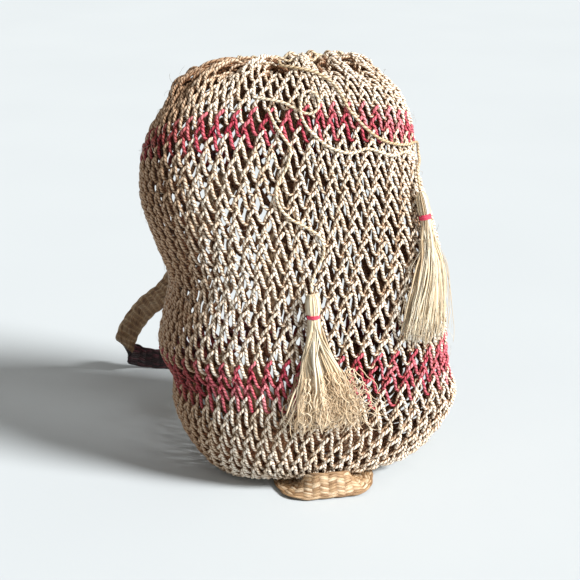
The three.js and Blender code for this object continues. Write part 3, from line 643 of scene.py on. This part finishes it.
# %% The net's pieces
NATURAL, DYED = "straw_net", "dyed_net"
net_pieces = {}
low = -1.0
for name, high, node, slot in [
    ("net_of_base", 0.250, "base_net", NATURAL),
    ("net_of_lower_stripe", 0.298, "lower_stripe", DYED),
    ("net_of_middle_low", 0.520, "middle_net", NATURAL),
    ("net_of_middle_high", 0.742, "middle_net", NATURAL),
    ("net_of_upper_stripe", 0.790, "upper_stripe", DYED),
    ("net_of_crown", 2.0, "crown", NATURAL),
]:
    rows = [row for row, up in enumerate(row_ups) if low <= up < high]
    print(name, "rows", len(rows))
    made = put_mesh(name, *merged([net_row(row) for row in rows]))
    net_pieces[name] = dressed(made, node, slot=slot)
    low = high

# %% [markdown]
# ## Loose fibres
# Split straw sheds fine fibres, and they stand off the net and soften its outline. Particles
# could scatter them, but a few hundred hairs are easily laid directly: each starts in a cord,
# bends away in its own direction and ends in the air.

# %% Fibres on the net
FIBRES, FIBRE_STEPS = 420, 9


def loose_fibres():
    """Each fibre is an arc on the cloth from a random place: it goes along in its own
    direction, curves aside as the square of the distance, and rises off the cloth as half a
    sine wave."""
    around, up = RNG.uniform(0, 1, (FIBRES, 1)), RNG.uniform(0.02, 0.98, (FIBRES, 1))
    long = RNG.uniform(5, 19, (FIBRES, 1))
    heading, curve = RNG.uniform(0, 2 * np.pi, (FIBRES, 1)), RNG.normal(0, 0.45, (FIBRES, 1))
    share = np.linspace(0, 1, FIBRE_STEPS)[None, :]
    ahead, aside = long * share, long * curve * share ** 2
    start = on_net(around, up, -1.0, NET_PLEAT)
    side, lift, out = cloth_frame(around, up)
    flat = side * np.cos(heading)[..., None] + lift * np.sin(heading)[..., None]
    cross = np.cross(out, flat)
    high, bend = RNG.uniform(2.0, 5.5, (FIBRES, 1)), RNG.uniform(1.2, 2.8, (FIBRES, 1))
    rise = 0.6 + high * np.sin(share * bend)
    path = start + flat * ahead[..., None] + cross * aside[..., None] + out * rise[..., None]
    path[..., 2] = np.maximum(path[..., 2], 0.4)
    thick = RNG.uniform(0.12, 0.26, (FIBRES, 1)) * (1 - 0.6 * share)
    points, faces, uv = tubes(path, np.broadcast_to(out, path.shape), thick, 3, share * 2)
    tone = np.repeat(RNG.uniform(0, 1, FIBRES), FIBRE_STEPS * 3)
    return put_mesh("loose_fibres", points, faces, uv, even_finish(points, tone))


net_pieces["loose_fibres"] = dressed(loose_fibres(), slot="straw_net")

# %% [markdown]
# ## The straps
# Each strap is a flat braid of straw, eleven double strands that cross over and under. A plain
# band with a pattern would lose its edge, which is scalloped where the strands turn back. Each
# strand runs to and fro across the band as a triangle wave and dips under its neighbours twice
# in every crossing. The band's middle line is the frame's.

# %% The straps' routes
BAND_WIDTH, BAND_THICK = 24.0, 2.2
DYED_FROM, DYED_LONG = 361.0, 110.0
# A row is on the cloth, (around, up, stand-off in thicknesses), or free, (side, back, height,
# rise in band widths), and then comes the direction of the strap's width.
LEFT_ROUTE = [
    ((0.516, 0.865, 1.2), (-1, 0, 0)),
    ((0.521, 0.80, 2.0), (-1, 0, 0)),
    ((-0.29, 1.08, 0.650, 0), (-0.92, 0.15, 0.30)),
    ((-0.50, 1.42, 0.477, 0), (-0.7, 0.28, 0.5)),
    ((-0.717, 1.72, 0.286, 0), (-0.49, 0.32, 0.59)),
    ((-0.883, 1.94, 0.211, 0), (-0.52, 0.32, 0.57)),
    ((-0.986, 2.09, 0.139, 0), (-0.72, 0.32, 0.48)),
    ((-1.025, 2.17, 0.09, 0), (-0.8, 0.42, 0.43)),
    ((-1.01, 2.25, 0.063, 0), (-0.25, 0.83, 0.48)),
    ((-0.95, 2.27, 0.0, 0.68), (0.05, 0.25, 0.95)),
    ((-0.86, 2.235, 0.0, 0.53), (0, 0, 1)),
    ((-0.70, 2.16, 0.0, 0.51), (0, 0, 1)),
    ((-0.46, 2.14, 0.0, 0.51), (0, 0, 1)),
    ((-0.27, 2.00, 0.0, 0.51), (0, 0, 1)),
    ((-0.23, 1.76, 0.0, 0.51), (0, 0, 1)),
    ((-0.34, 1.55, 0.0, 0.51), (0, 0, 1)),
    ((-0.54, 1.44, 0.0, 0.52), (0, 0, 1)),
    ((-0.72, 1.28, 0.01, 0.55), (0, 0, 1)),
    ((0.655, 0.13, 3.4), (0, 0, 1)),
    ((0.635, 0.135, 1.4), (0, 0, 1)),
    ((0.610, 0.14, 1.1), (0, 0, 1)),
]
RIGHT_ROUTE = [
    ((0.484, 0.865, 1.2), (1, 0, 0)),
    ((0.482, 0.80, 2.0), (1, 0, 0)),
    ((0.10, 1.08, 0.630, 0), (1, 0, 0)),
    ((0.04, 1.20, 0.438, 0), (1, 0, 0)),
    ((-0.05, 1.27, 0.245, 0), (1, 0, 0)),
    ((-0.13, 1.28, 0.103, 0), (1, 0, 0)),
    ((-0.172, 1.20, 0.022, 0), (1, 0, 0)),
    ((-0.179, 1.02, 0, 0.14), (1, 0, 0)),
    ((-0.179, 0.62, 0, 0.08), (1, 0, 0)),
    ((-0.179, 0.00, 0, 0.08), (1, 0, 0)),
    ((-0.179, -0.50, 0, 0.08), (1, 0, 0)),
    ((-0.179, -0.74, 0, 0.13), (1, 0.04, 0.03)),
    ((-0.155, -0.93, 0, 0.26), (0.8, 0.4, 0.3)),
    ((-0.072, -1.055, 0, 0.48), (0.3, 0.34, 0.88)),
    ((0.040, -1.08, 0, 0.51), (0, 0.33, 0.94)),
    ((0.150, -1.065, 0, 0.48), (-0.25, 0.36, 0.88)),
    ((0.250, -0.985, 0, 0.31), (-0.7, 0.42, 0.42)),
    ((0.308, -0.73, 0, 0.15), (-1, 0.1, 0.07)),
    ((0.324, -0.50, 0, 0.08), (-1, 0, 0)),
    ((0.324, 0.00, 0, 0.08), (-1, 0, 0)),
    ((0.324, 0.62, 0, 0.08), (-1, 0, 0)),
    ((0.330, 1.00, 0, 0.14), (-1, 0, 0)),
    ((0.350, 1.16, 0, 0.60), (-1, 0, 0)),
    ((0.428, 0.13, 5.0), (-1, 0, 0)),
    ((0.428, 0.18, 1.6), (-1, 0, 0)),
    ((0.428, 0.23, 1.2), (-1, 0, 0)),
]


def band_path(route):
    """The band's middle line and width direction, finely and evenly along it."""
    middle, widths = [], []
    for place, width in route:
        width = unit(np.array(width, float))
        if len(place) == 3:
            around, up, off = place
            middle.append(on_net(np.array(around), np.array(up), off * BAND_THICK))
            out = cloth_frame(np.array(around), np.array(up))[2]
            width = unit(width - out * (width @ out))
        else:
            side, back, tall, rise = place
            tall = tall * HEIGHT + rise * BAND_WIDTH
            middle.append(np.array([side * HALF_WIDTH, back * HALF_DEPTH, tall]))
        widths.append(width)
    return smooth_path(middle, 60), smooth_path(widths, 60, centripetal=False)


# %% Braiding
STRANDS = 11
SPLITS = 2                      # straws side by side in a strand
BRAID_LAY = 168.0               # length in which a strand crosses the band and comes back
BRAID_STEP = 2.9
STRAND_WIDE = 4.8
STRAND_THICK = 1.0


def braid(middle, widths, start, end, name):
    """Flat strands on the band between two distances along it. A strand's place across is a
    triangle wave of the distance, rounded at its ends. It meets another strand 2 x STRANDS
    times in each wave, so its height is a cosine with that many half turns: up at one
    meeting, down at the next, and level where the strand turns back at the edge."""
    along = np.arange(start, end + 1e-6, (end - start) / round((end - start) / BRAID_STEP))
    centre, wide, ahead = at_lengths(middle, along, (widths, np.gradient(middle, axis=0)))
    ahead = unit(ahead)
    wide = unit(wide - ahead * (wide * ahead).sum(-1, keepdims=True))
    face = np.cross(ahead, wide)
    phase = along[None, :] / BRAID_LAY + np.arange(STRANDS)[:, None] / STRANDS
    triangle = 2 * np.abs(2 * (phase % 1) - 1) - 1
    across = 0.7 * np.sin(triangle * np.pi / 2) + 0.3 * triangle
    reach = (BAND_WIDTH - STRAND_WIDE) / 2
    meeting = (phase % 1) * 2 * STRANDS
    side = np.where(meeting < STRANDS, -1.0, 1.0)
    at_edge = np.abs(meeting - STRANDS * np.round(meeting / STRANDS)) < 0.5
    over = np.where(at_edge, 0.0, side * np.cos(np.pi * meeting))
    height = (BAND_THICK - STRAND_THICK) / 2 * over
    across = across * reach + 0.25 * np.sin(along[None, :] / 23 + np.arange(STRANDS)[:, None] * 2.1)
    split = (np.arange(SPLITS) - (SPLITS - 1) / 2) * STRAND_WIDE / SPLITS
    across = (across[:, None] + split[:, None]).reshape(STRANDS * SPLITS, -1)
    height, over = (np.repeat(values, SPLITS, axis=0) for values in (height, over))
    path = centre[None] + wide[None] * across[..., None] + face[None] * height[..., None]
    flatwise = unit(np.cross(unit(np.gradient(path, axis=1)), face[None]))
    straw = STRAND_WIDE / SPLITS * 1.12
    points, faces, uv = tubes(path, flatwise, np.full(path.shape[:2], straw / 2), 6,
                              np.broadcast_to(along / 8, path.shape[:2]), flat=STRAND_THICK / straw)
    tone = np.repeat(RNG.uniform(0, 1, STRANDS * SPLITS), len(along) * 6)
    # painted shade: a straw is darker where it dips under its neighbours
    over_all = np.repeat((0.5 + 0.5 * over).ravel(), 6)
    return put_mesh(name, points, faces, uv, {"tone": tone, "shade": 0.12 + 0.88 * over_all})


straps = {}
for side, route in (("left", LEFT_ROUTE), ("right", RIGHT_ROUTE)):
    middle, widths = band_path(route)
    total = lengths_along(middle)[-1]
    print("strap", side, "is", round(total), "mm long")
    dyed_to = DYED_FROM + DYED_LONG
    for part, start, end, slot in (
        ("upper", 0.0, DYED_FROM, "braid"), ("dyed", DYED_FROM, dyed_to, "dyed_braid"),
        ("lower", dyed_to, total, "braid"),
    ):
        name = f"braid_{side}_{part}"
        made = braid(middle, widths, start, end, name)
        straps[name] = dressed(made, f"strap_{side}_{part}", slot=slot)

# %% [markdown]
# ## The tassels
# A tassel is a bundle of split straw folded over the cord and bound below the fold. In the head
# its strands lie side by side, and below the tie they part into locks that sway together, cross
# and end in dry curls. Hair particles could do this, but they don't export. Each strand here is
# a flat straw of its own, with its own place in its lock, its own sway and its own curl.

# %% Hair of the tassels
# Each tassel has whole straws and split ones. The numbers are locks and straws in each, how
# loose a lock is, sideways lean and size of the curls as shares of the spread, where the curls
# start, how many straws go astray, how early the skirt opens, where the straws start, steps of
# a path, thickness, how much of the tips' warm colour they take, how fast they curl, and how
# dark the painted shade deep in the bundle may be.
HAIR = {
    "left": [
        dict(locks=10, each=10, loose=0.09, lean=0.13, curl=0.20, curls_from=0.62, astray=12,
             flare=1.0, start=0.0, steps=36, thick=(0.55, 1.35), warm=0.9, waves=(12, 34),
             deepest_shade=0.10),
        dict(locks=9, each=17, loose=0.34, lean=0.10, curl=0.34, curls_from=0.50, astray=8,
             flare=0.85, start=0.60, steps=34, thick=(0.26, 0.66), warm=1.3, waves=(40, 90),
             deepest_shade=0.30),
    ],
    "right": [
        dict(locks=14, each=10, loose=0.14, lean=-0.22, curl=0.08, curls_from=0.66, astray=18,
             flare=0.7, start=0.0, steps=30, thick=(0.45, 1.05), warm=0.4, waves=(12, 34),
             deepest_shade=0.92),
        dict(locks=14, each=8, loose=0.30, lean=-0.20, curl=0.16, curls_from=0.60, astray=16,
             flare=0.7, start=0.30, steps=24, thick=(0.18, 0.42), warm=0.4, waves=(12, 34),
             deepest_shade=0.92),
    ],
}
NECK = (0.165, -0.05, 0.72)
OUTLINE = np.array([  # share of the length, sideways from the head to the full spread, depth
    (0, -0.10, 0.45), (0.03, 0.0, 0.85), (0.12, 0.02, 0.95), NECK, (0.21, 0.0, 0.9),
    (0.4, 0.22, 1.1), (0.65, 0.56, 1.25), (0.88, 0.92, 1.3), (1.05, 1.0, 1.1),
])


def tassel_strands(tassel, hair, rng):
    """Paths of the strands, in the tassel's own directions. In the head a strand has an even
    place in the section, and below the tie it moves over to its lock's place plus a small
    offset. Sway is a slow sine that its lock shares, and a curl a circle that a strand goes
    round as it comes down, with a radius that grows towards the tip."""
    in_locks = hair["locks"] * hair["each"]
    count = in_locks + hair["astray"]
    lock = np.minimum(np.arange(count) // hair["each"], hair["locks"] - 1)
    astray = (np.arange(count) >= in_locks)[:, None]
    way = np.linspace(0, 1, hair["steps"])[None, :] ** 0.9 * rng.uniform(0.84, 1.02, (count, 1))
    share = hair["start"] + (1 - hair["start"]) * way
    angle, radius = rng.uniform(0, 2 * np.pi, count), np.sqrt(rng.uniform(0.02, 1, count))
    head = np.stack([np.cos(angle) * radius, np.sin(angle) * radius])
    turn = np.arange(hair["locks"]) * 2.4 + rng.uniform(-0.3, 0.3, hair["locks"])
    out = np.sqrt((np.arange(hair["locks"]) + 0.7) / hair["locks"])
    skirt = np.stack([np.cos(turn) * out, np.sin(turn) * out])[:, lock] * 0.92
    skirt = skirt + rng.normal(0, hair["loose"], (2, count))
    part = smoothstep(share, 0.16, 0.5)
    x, y = (head[k][:, None] * (1 - part) + skirt[k][:, None] * part for k in range(2))
    spread, deep = (np.interp(share, OUTLINE[:, 0], OUTLINE[:, k]) for k in (1, 2))
    spread = np.where(share > 0.22, np.abs(spread) ** hair["flare"], spread)
    x = x * (HEAD_HALF + spread * tassel["spread"]) * 0.96
    y = y * HEAD_HALF * deep * 0.96
    free = smoothstep(share, 0.17, 0.75)
    slow = rng.normal(0, 1, (3, hair["locks"], 1))[:, lock]
    own = rng.normal(0, 1, (3, count, 1))
    x = x + free * (2.0 * slow[0] * np.sin(share * 4.5 + slow[1] * 3)
                    + 0.9 * own[0] * np.sin(share * 11 + own[1] * 5)
                    + hair["lean"] * tassel["spread"] * share)
    y = y + free * (1.3 * slow[2] + 0.7 * own[2] * np.sin(share * 8 + own[0] * 4))
    x = x + astray * free * own[2] * 5.5 * np.sin(share * 5 + own[1])
    grow = smoothstep(share, hair["curls_from"], 1.0) * hair["curl"] * tassel["spread"]
    grow = grow * rng.uniform(0.25, 1.0, (count, 1))
    speed = rng.uniform(*hair["waves"], (count, 1)) * rng.choice([-1, 1], (count, 1))
    phase = share * speed + rng.uniform(0, 6.28, (count, 1))
    x = x + grow * np.sin(phase)
    y = y + grow * 0.4 * np.cos(phase * 1.3)
    along = grow * 0.9 * np.cos(phase) - grow * 0.5
    return share, x, np.maximum(y, 3.2 - TASSEL_OFF), along


def straws(tassel, hair, rng):
    """Mesh arrays of one kind of a tassel's straws. They thin out towards their tips, and
    those deep in the bundle get painted shade, but no tip does."""
    share, x, y, along = tassel_strands(tassel, hair, rng)
    centre, down, sideways, out = tassel_frame(tassel, share)
    path = centre - sideways * x[..., None] + out * y[..., None] + down * along[..., None]
    path[..., 2] = np.maximum(path[..., 2], 0.8)
    count, sides = len(share), 4
    thick = rng.uniform(*hair["thick"], (count, 1)) * (1 - 0.45 * smoothstep(share, 0.55, 0.95))
    lean = unit(out + rng.normal(0, 0.5, (count, 1, 1)) * sideways)
    points, faces, uv = tubes(path, np.cross(down, lean), thick, sides, share * 6, flat=0.45)
    # painted shade, darker deep in the bundle, and none at the tips
    bundle_shade = np.clip(0.66 + y / (HEAD_HALF * 1.5), hair["deepest_shade"], 1)
    bundle_shade = np.maximum(bundle_shade, 0.95 * smoothstep(share, 0.60, 0.80))
    return points, faces, uv, {
        "tone": np.repeat(rng.uniform(0, 1, count), share.shape[1] * sides),
        "shade": np.repeat(bundle_shade.ravel(), sides),
        "tip": np.repeat(share.ravel() * hair["warm"], sides),
    }


def tassel_piece(side, seed):
    rng = np.random.default_rng(seed)
    made = merged([straws(TASSELS[side], hair, rng) for hair in HAIR[side]])
    made = put_mesh(f"tassel_strands_{side}", *made)
    return dressed(made, f"tassel_{side}", slot="tassel")


tassels = [tassel_piece("left", 5), tassel_piece("right", 9)]

# %% The red ties
THREAD, THREAD_OFF = 0.6, 0.55  # the thread's radius, and how far it stands off the neck


def tie_piece(side, turns, tall):
    """Thread wound round the neck: a helix on an ellipse."""
    tassel = TASSELS[side]
    t = np.linspace(0, turns, int(turns * 44))
    middle, narrow, flat = NECK
    share = middle + (t / turns - 0.5) * tall / tassel["long"]
    centre, down, sideways, out = tassel_frame(tassel, share)
    wide = (HEAD_HALF + narrow * tassel["spread"] + THREAD_OFF) * np.cos(2 * np.pi * t)
    deep = (HEAD_HALF * flat + THREAD_OFF) * np.sin(2 * np.pi * t)
    radial = sideways * wide[:, None] + out * deep[:, None]
    points, faces, uv = tubes((centre + radial)[None], unit(radial)[None], THREAD, 8, t[None] * 6)
    finish = even_finish(points, 0.5, tip=np.zeros(len(points)))
    made = put_mesh(f"thread_{side}", points, faces, uv, finish)
    return dressed(made, f"tassel_tie_{side}", slot="tie")


ties = [tie_piece("left", 3.6, 2.8), tie_piece("right", 4.6, 4.0)]

# %% [markdown]
# ## Straw
# Straw cord is pale and slightly glossy where it bulges, and painted shade makes it brown in the
# groove between its plies; it is streaked along its fibres. The UV map runs round the cord and
# along its twist, so their sum is constant along a ply: a sine of it gives the groove, and noise
# read on it gives fibres that follow the twist. The tone of each stitch, and how deep it lies for
# its painted shade, come as attributes.

# %% Node helpers
def new_material(name):
    material = bpy.data.materials.new(name)
    material.use_nodes = True
    tree = material.node_tree
    return material, tree, tree.nodes["Principled BSDF"]


def node(tree, kind, inputs=None, **settings):
    """A node with its settings and inputs: an input is a value or another node's socket."""
    made = tree.nodes.new(kind)
    for key, value in settings.items():
        setattr(made, key, value)
    for key, value in (inputs or {}).items():
        if isinstance(value, bpy.types.NodeSocket):
            tree.links.new(value, made.inputs[key])
        else:
            made.inputs[key].default_value = value
    return made


def maths(tree, operation, a, b=0.0, c=0.0):
    return node(tree, "ShaderNodeMath", {0: a, 1: b, 2: c}, operation=operation).outputs[0]


def blend(tree, factor, a, b, kind="MIX"):
    mixed = node(tree, "ShaderNodeMix", {0: factor, 6: a, 7: b}, data_type="RGBA", blend_type=kind)
    return mixed.outputs[2]


def ramp(tree, factor, places, colours):
    """A colour ramp with the colours at their places."""
    made = node(tree, "ShaderNodeValToRGB", {0: factor})
    elements = made.color_ramp.elements
    while len(elements) < len(places):
        elements.new(0.5)
    for element, position, colour in zip(elements, places, colours):
        element.position = position
        element.color = (*colour, 1)
    return made.outputs[0]


def mapped(tree, value, low, high, to_low, to_high):
    """A value between low and high brought to the range from to_low to to_high."""
    ends = {1: low, 2: high, 3: to_low, 4: to_high}
    return node(tree, "ShaderNodeMapRange", {0: value, **ends}).outputs[0]


def attribute(tree, name):
    made = node(tree, "ShaderNodeAttribute", attribute_name=name, attribute_type="GEOMETRY")
    return made.outputs["Fac"]


def noise(tree, place, **inputs):
    return node(tree, "ShaderNodeTexNoise", {"Vector": place, **inputs}).outputs[0]


# %% What all straw has
def straw_places(tree):
    """Round the straw and along it from its UV map, its tone, and its painted shade."""
    uv = node(tree, "ShaderNodeUVMap", uv_map="UVMap").outputs[0]
    uv = node(tree, "ShaderNodeSeparateXYZ", {0: uv})
    return uv.outputs[0], uv.outputs[1], attribute(tree, "tone"), attribute(tree, "shade")


def fibre_noise(tree, angle, wide, along, **inputs):
    """Noise on an ellipse of the angle, wide in its two directions, drawn out along."""
    place = node(tree, "ShaderNodeCombineXYZ", {
        0: maths(tree, "MULTIPLY", maths(tree, "COSINE", angle), wide[0]),
        1: maths(tree, "MULTIPLY", maths(tree, "SINE", angle), wide[1]),
        2: along,
    }).outputs[0]
    return noise(tree, place, **inputs)


def finish_straw(tree, surface, colour, dim, shade_tint_powers, bump, rough, gloss):
    """Colour times dim, the painted shade. Green takes dim to a higher power than red and blue to a
    higher one still, so the painted shade is brown. bump is a height with its strength and
    distance."""
    green, blue = (maths(tree, "POWER", dim, power) for power in shade_tint_powers)
    brown = node(tree, "ShaderNodeCombineXYZ", {0: dim, 1: green, 2: blue}).outputs[0]
    tree.links.new(blend(tree, 1.0, colour, brown, "MULTIPLY"), surface.inputs["Base Color"])
    bumped = node(tree, "ShaderNodeBump", dict(zip(("Height", "Strength", "Distance"), bump)))
    tree.links.new(bumped.outputs[0], surface.inputs["Normal"])
    surface.inputs["Roughness"].default_value = rough
    surface.inputs["Specular IOR Level"].default_value = gloss


# %% Twisted straw
def twisted_straw(name, colours, groove, deep, rough):
    """Two-ply cord. Ply: |sin 2pi(u + v)|, 0 in the groove. Fibre: noise on the circle of u + v,
    drawn out along v. Painted shade turns the grooves and the deep parts of the loops brown."""
    material, tree, surface = new_material(name)
    around, along, tone, shade = straw_places(tree)
    lay = maths(tree, "MULTIPLY", maths(tree, "ADD", around, along), 2 * math.pi)
    ply = maths(tree, "ABSOLUTE", maths(tree, "SINE", lay))
    drawn_out = maths(tree, "MULTIPLY_ADD", along, 0.7, maths(tree, "MULTIPLY", tone, 31.0))
    fibre = fibre_noise(tree, lay, (3.0, 3.0), drawn_out, Scale=1.7, Detail=3.0, Roughness=0.6)
    place = node(tree, "ShaderNodeTexCoord").outputs["Object"]
    patches = maths(tree, "MULTIPLY", noise(tree, place, Scale=55.0, Detail=2.0), 0.3)
    uneven = maths(tree, "ADD", maths(tree, "MULTIPLY", tone, 0.16), patches)
    mixer = maths(tree, "ADD", maths(tree, "MULTIPLY", fibre, 0.66), uneven)
    colour = ramp(tree, mixer, (0.28, 0.42, 0.53, 0.68), colours)
    # painted shade: dim falls in the ply grooves and where the shade attribute is low
    dim = maths(tree, "MULTIPLY", mapped(tree, ply, 0.05, 0.6, groove, 1.0),
                mapped(tree, shade, 0.04, 0.82, deep, 1.0))
    height = maths(tree, "ADD", maths(tree, "POWER", ply, 0.6), maths(tree, "MULTIPLY", fibre, 0.4))
    finish_straw(tree, surface, colour, dim, (1.45, 1.9), (height, 0.9, 0.0009), rough, 0.4)
    return material


# groove and deep set how dark the painted shade gets in the grooves and in the deep loops
STRAW_NET = twisted_straw("straw_cord", [
    (0.33, 0.18, 0.09), (0.73, 0.57, 0.40), (0.95, 0.86, 0.72), (1.0, 0.96, 0.88),
], groove=0.24, deep=0.16, rough=0.5)
DYED_NET = twisted_straw("crimson_straw_cord", [
    (0.09, 0.003, 0.011), (0.36, 0.014, 0.048), (0.62, 0.060, 0.115), (0.92, 0.38, 0.43),
], groove=0.18, deep=0.07, rough=0.5)
DRAWSTRING = twisted_straw("drawstring_cord", [
    (0.24, 0.13, 0.05), (0.50, 0.34, 0.17), (0.74, 0.60, 0.39), (0.94, 0.86, 0.70),
], groove=0.35, deep=0.4, rough=0.45)
for piece in net_pieces.values():
    piece.data.materials.append(DYED_NET if piece["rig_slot"] == "dyed_net" else STRAW_NET)
for piece in cords:
    piece.data.materials.append(DRAWSTRING)


# %% Flat straw of the braids and the tassels
def flat_straw(name, colours, rough, ribs, streak, tips=None):
    """Straw laid flat: fibre is noise on the circle of u drawn out along v, with ribs as wide
    as that circle is, and for tassels the tips turn to a warmer colour."""
    material, tree, surface = new_material(name)
    around, along, tone, shade = straw_places(tree)
    turn = maths(tree, "MULTIPLY", around, 2 * math.pi)
    drawn_out = maths(tree, "MULTIPLY_ADD", along, streak, maths(tree, "MULTIPLY", tone, 53.0))
    fibre = fibre_noise(tree, turn, (ribs, 1.0), drawn_out, Scale=1.0, Detail=4.0, Roughness=0.7)
    uneven = maths(tree, "MULTIPLY", tone, 0.24)
    mixer = maths(tree, "ADD", maths(tree, "MULTIPLY", fibre, 0.8), uneven)
    colour = ramp(tree, mixer, (0.34, 0.48, 0.60, 0.76), colours)
    if tips:
        warm = mapped(tree, attribute(tree, "tip"), 0.45, 0.80, 0.0, 1.3)
        warm = maths(tree, "MULTIPLY", warm, maths(tree, "ADD", tone, 0.15))
        warm = maths(tree, "MINIMUM", warm, 0.9)
        colour = blend(tree, warm, colour, ramp(tree, mixer, (0.38, 0.72), tips))
    # painted shade from the shade attribute, with dim from 0.26 to 1
    dim = mapped(tree, shade, 0.0, 1.0, 0.26, 1.0)
    finish_straw(tree, surface, colour, dim, (1.2, 1.4), (fibre, 0.8, 0.0006), rough, 0.45)
    return material


BRAID = flat_straw("braided_straw", [
    (0.18, 0.085, 0.035), (0.46, 0.29, 0.15), (0.74, 0.56, 0.36), (0.97, 0.89, 0.74),
], rough=0.42, ribs=6.0, streak=0.35)
# crimson dye with painted shade: its colours are darkened nearly to black, as this stretch lies in
# shade
DYED_BRAID_SHADED = flat_straw("dyed_braided_straw_shaded", [
    (0.004, 0.001, 0.002), (0.011, 0.002, 0.004), (0.024, 0.004, 0.007), (0.16, 0.04, 0.06),
], rough=0.45, ribs=6.0, streak=0.35)
TASSEL = flat_straw("tassel_straw", [
    (0.52, 0.35, 0.19), (0.82, 0.68, 0.47), (0.94, 0.87, 0.70), (0.99, 0.96, 0.88),
], rough=0.4, ribs=2.0, streak=0.35, tips=((0.84, 0.56, 0.31), (1.0, 0.90, 0.70)))
TIE = flat_straw("red_thread", [
    (0.36, 0.01, 0.035), (0.62, 0.03, 0.08), (0.78, 0.10, 0.18), (0.88, 0.28, 0.36),
], rough=0.6, ribs=3.0, streak=0.6)
for piece in straps.values():
    piece.data.materials.append(DYED_BRAID_SHADED if piece["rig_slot"] == "dyed_braid" else BRAID)
for piece in tassels:
    piece.data.materials.append(TASSEL)
for piece in ties:
    piece.data.materials.append(TIE)
print("materials:", len(bpy.data.materials))

# %% [markdown]
# ## Floor and light
# A pale floor runs far past the view, and a broad lamp high on the right, as far off as a
# window, lets the sack's left side and the floor beside it fall into soft shade. It is far
# away so that the floor is evenly bright, and a pale sky fills in from everywhere.

# %% Floor
FLOOR_HALF = 8000.0
floor_corners = np.array([[-1, -1, 0], [1, -1, 0], [1, 1, 0], [-1, 1, 0]]) * FLOOR_HALF
floor = put_mesh("floor", floor_corners, np.array([[0, 1, 2, 3]]))
floor_paint, tree, surface = new_material("white_floor")
grain = noise(tree, node(tree, "ShaderNodeTexCoord").outputs["Object"], Scale=3.0, Detail=2.0)
floor_colour = ramp(tree, grain, (0.3, 0.7), ((0.557, 0.614, 0.657), (0.571, 0.629, 0.671)))
tree.links.new(floor_colour, surface.inputs["Base Color"])
surface.inputs["Roughness"].default_value = 0.8
floor.data.materials.append(floor_paint)


# %% Light
def far_window(name, place, wide, power, colour):
    """A lamp so far away that its light falls evenly: wide is its angle across, in degrees."""
    data = bpy.data.lights.new(name, "SUN")
    data.angle, data.energy, data.color = math.radians(wide), power, colour
    lamp = bpy.data.objects.new(name, data)
    lamp.location = place
    direction = -np.array(place)
    lamp.rotation_euler = (
        math.acos(-direction[2] / np.linalg.norm(direction)), 0,
        math.atan2(direction[1], direction[0]) - math.pi / 2,
    )
    bpy.context.scene.collection.objects.link(lamp)
    return lamp


far_window("window", place=(4.3, -3.0, 3.6), wide=17, power=6.45, colour=(1.0, 0.97, 0.935))
world = bpy.data.worlds.new("studio")
world.use_nodes = True
sky = world.node_tree.nodes["Background"]
sky.inputs["Color"].default_value = (1.0, 0.95, 0.88, 1)
sky.inputs["Strength"].default_value = 0.36
bpy.context.scene.world = world
bpy.context.scene.view_settings.view_transform = "Standard"
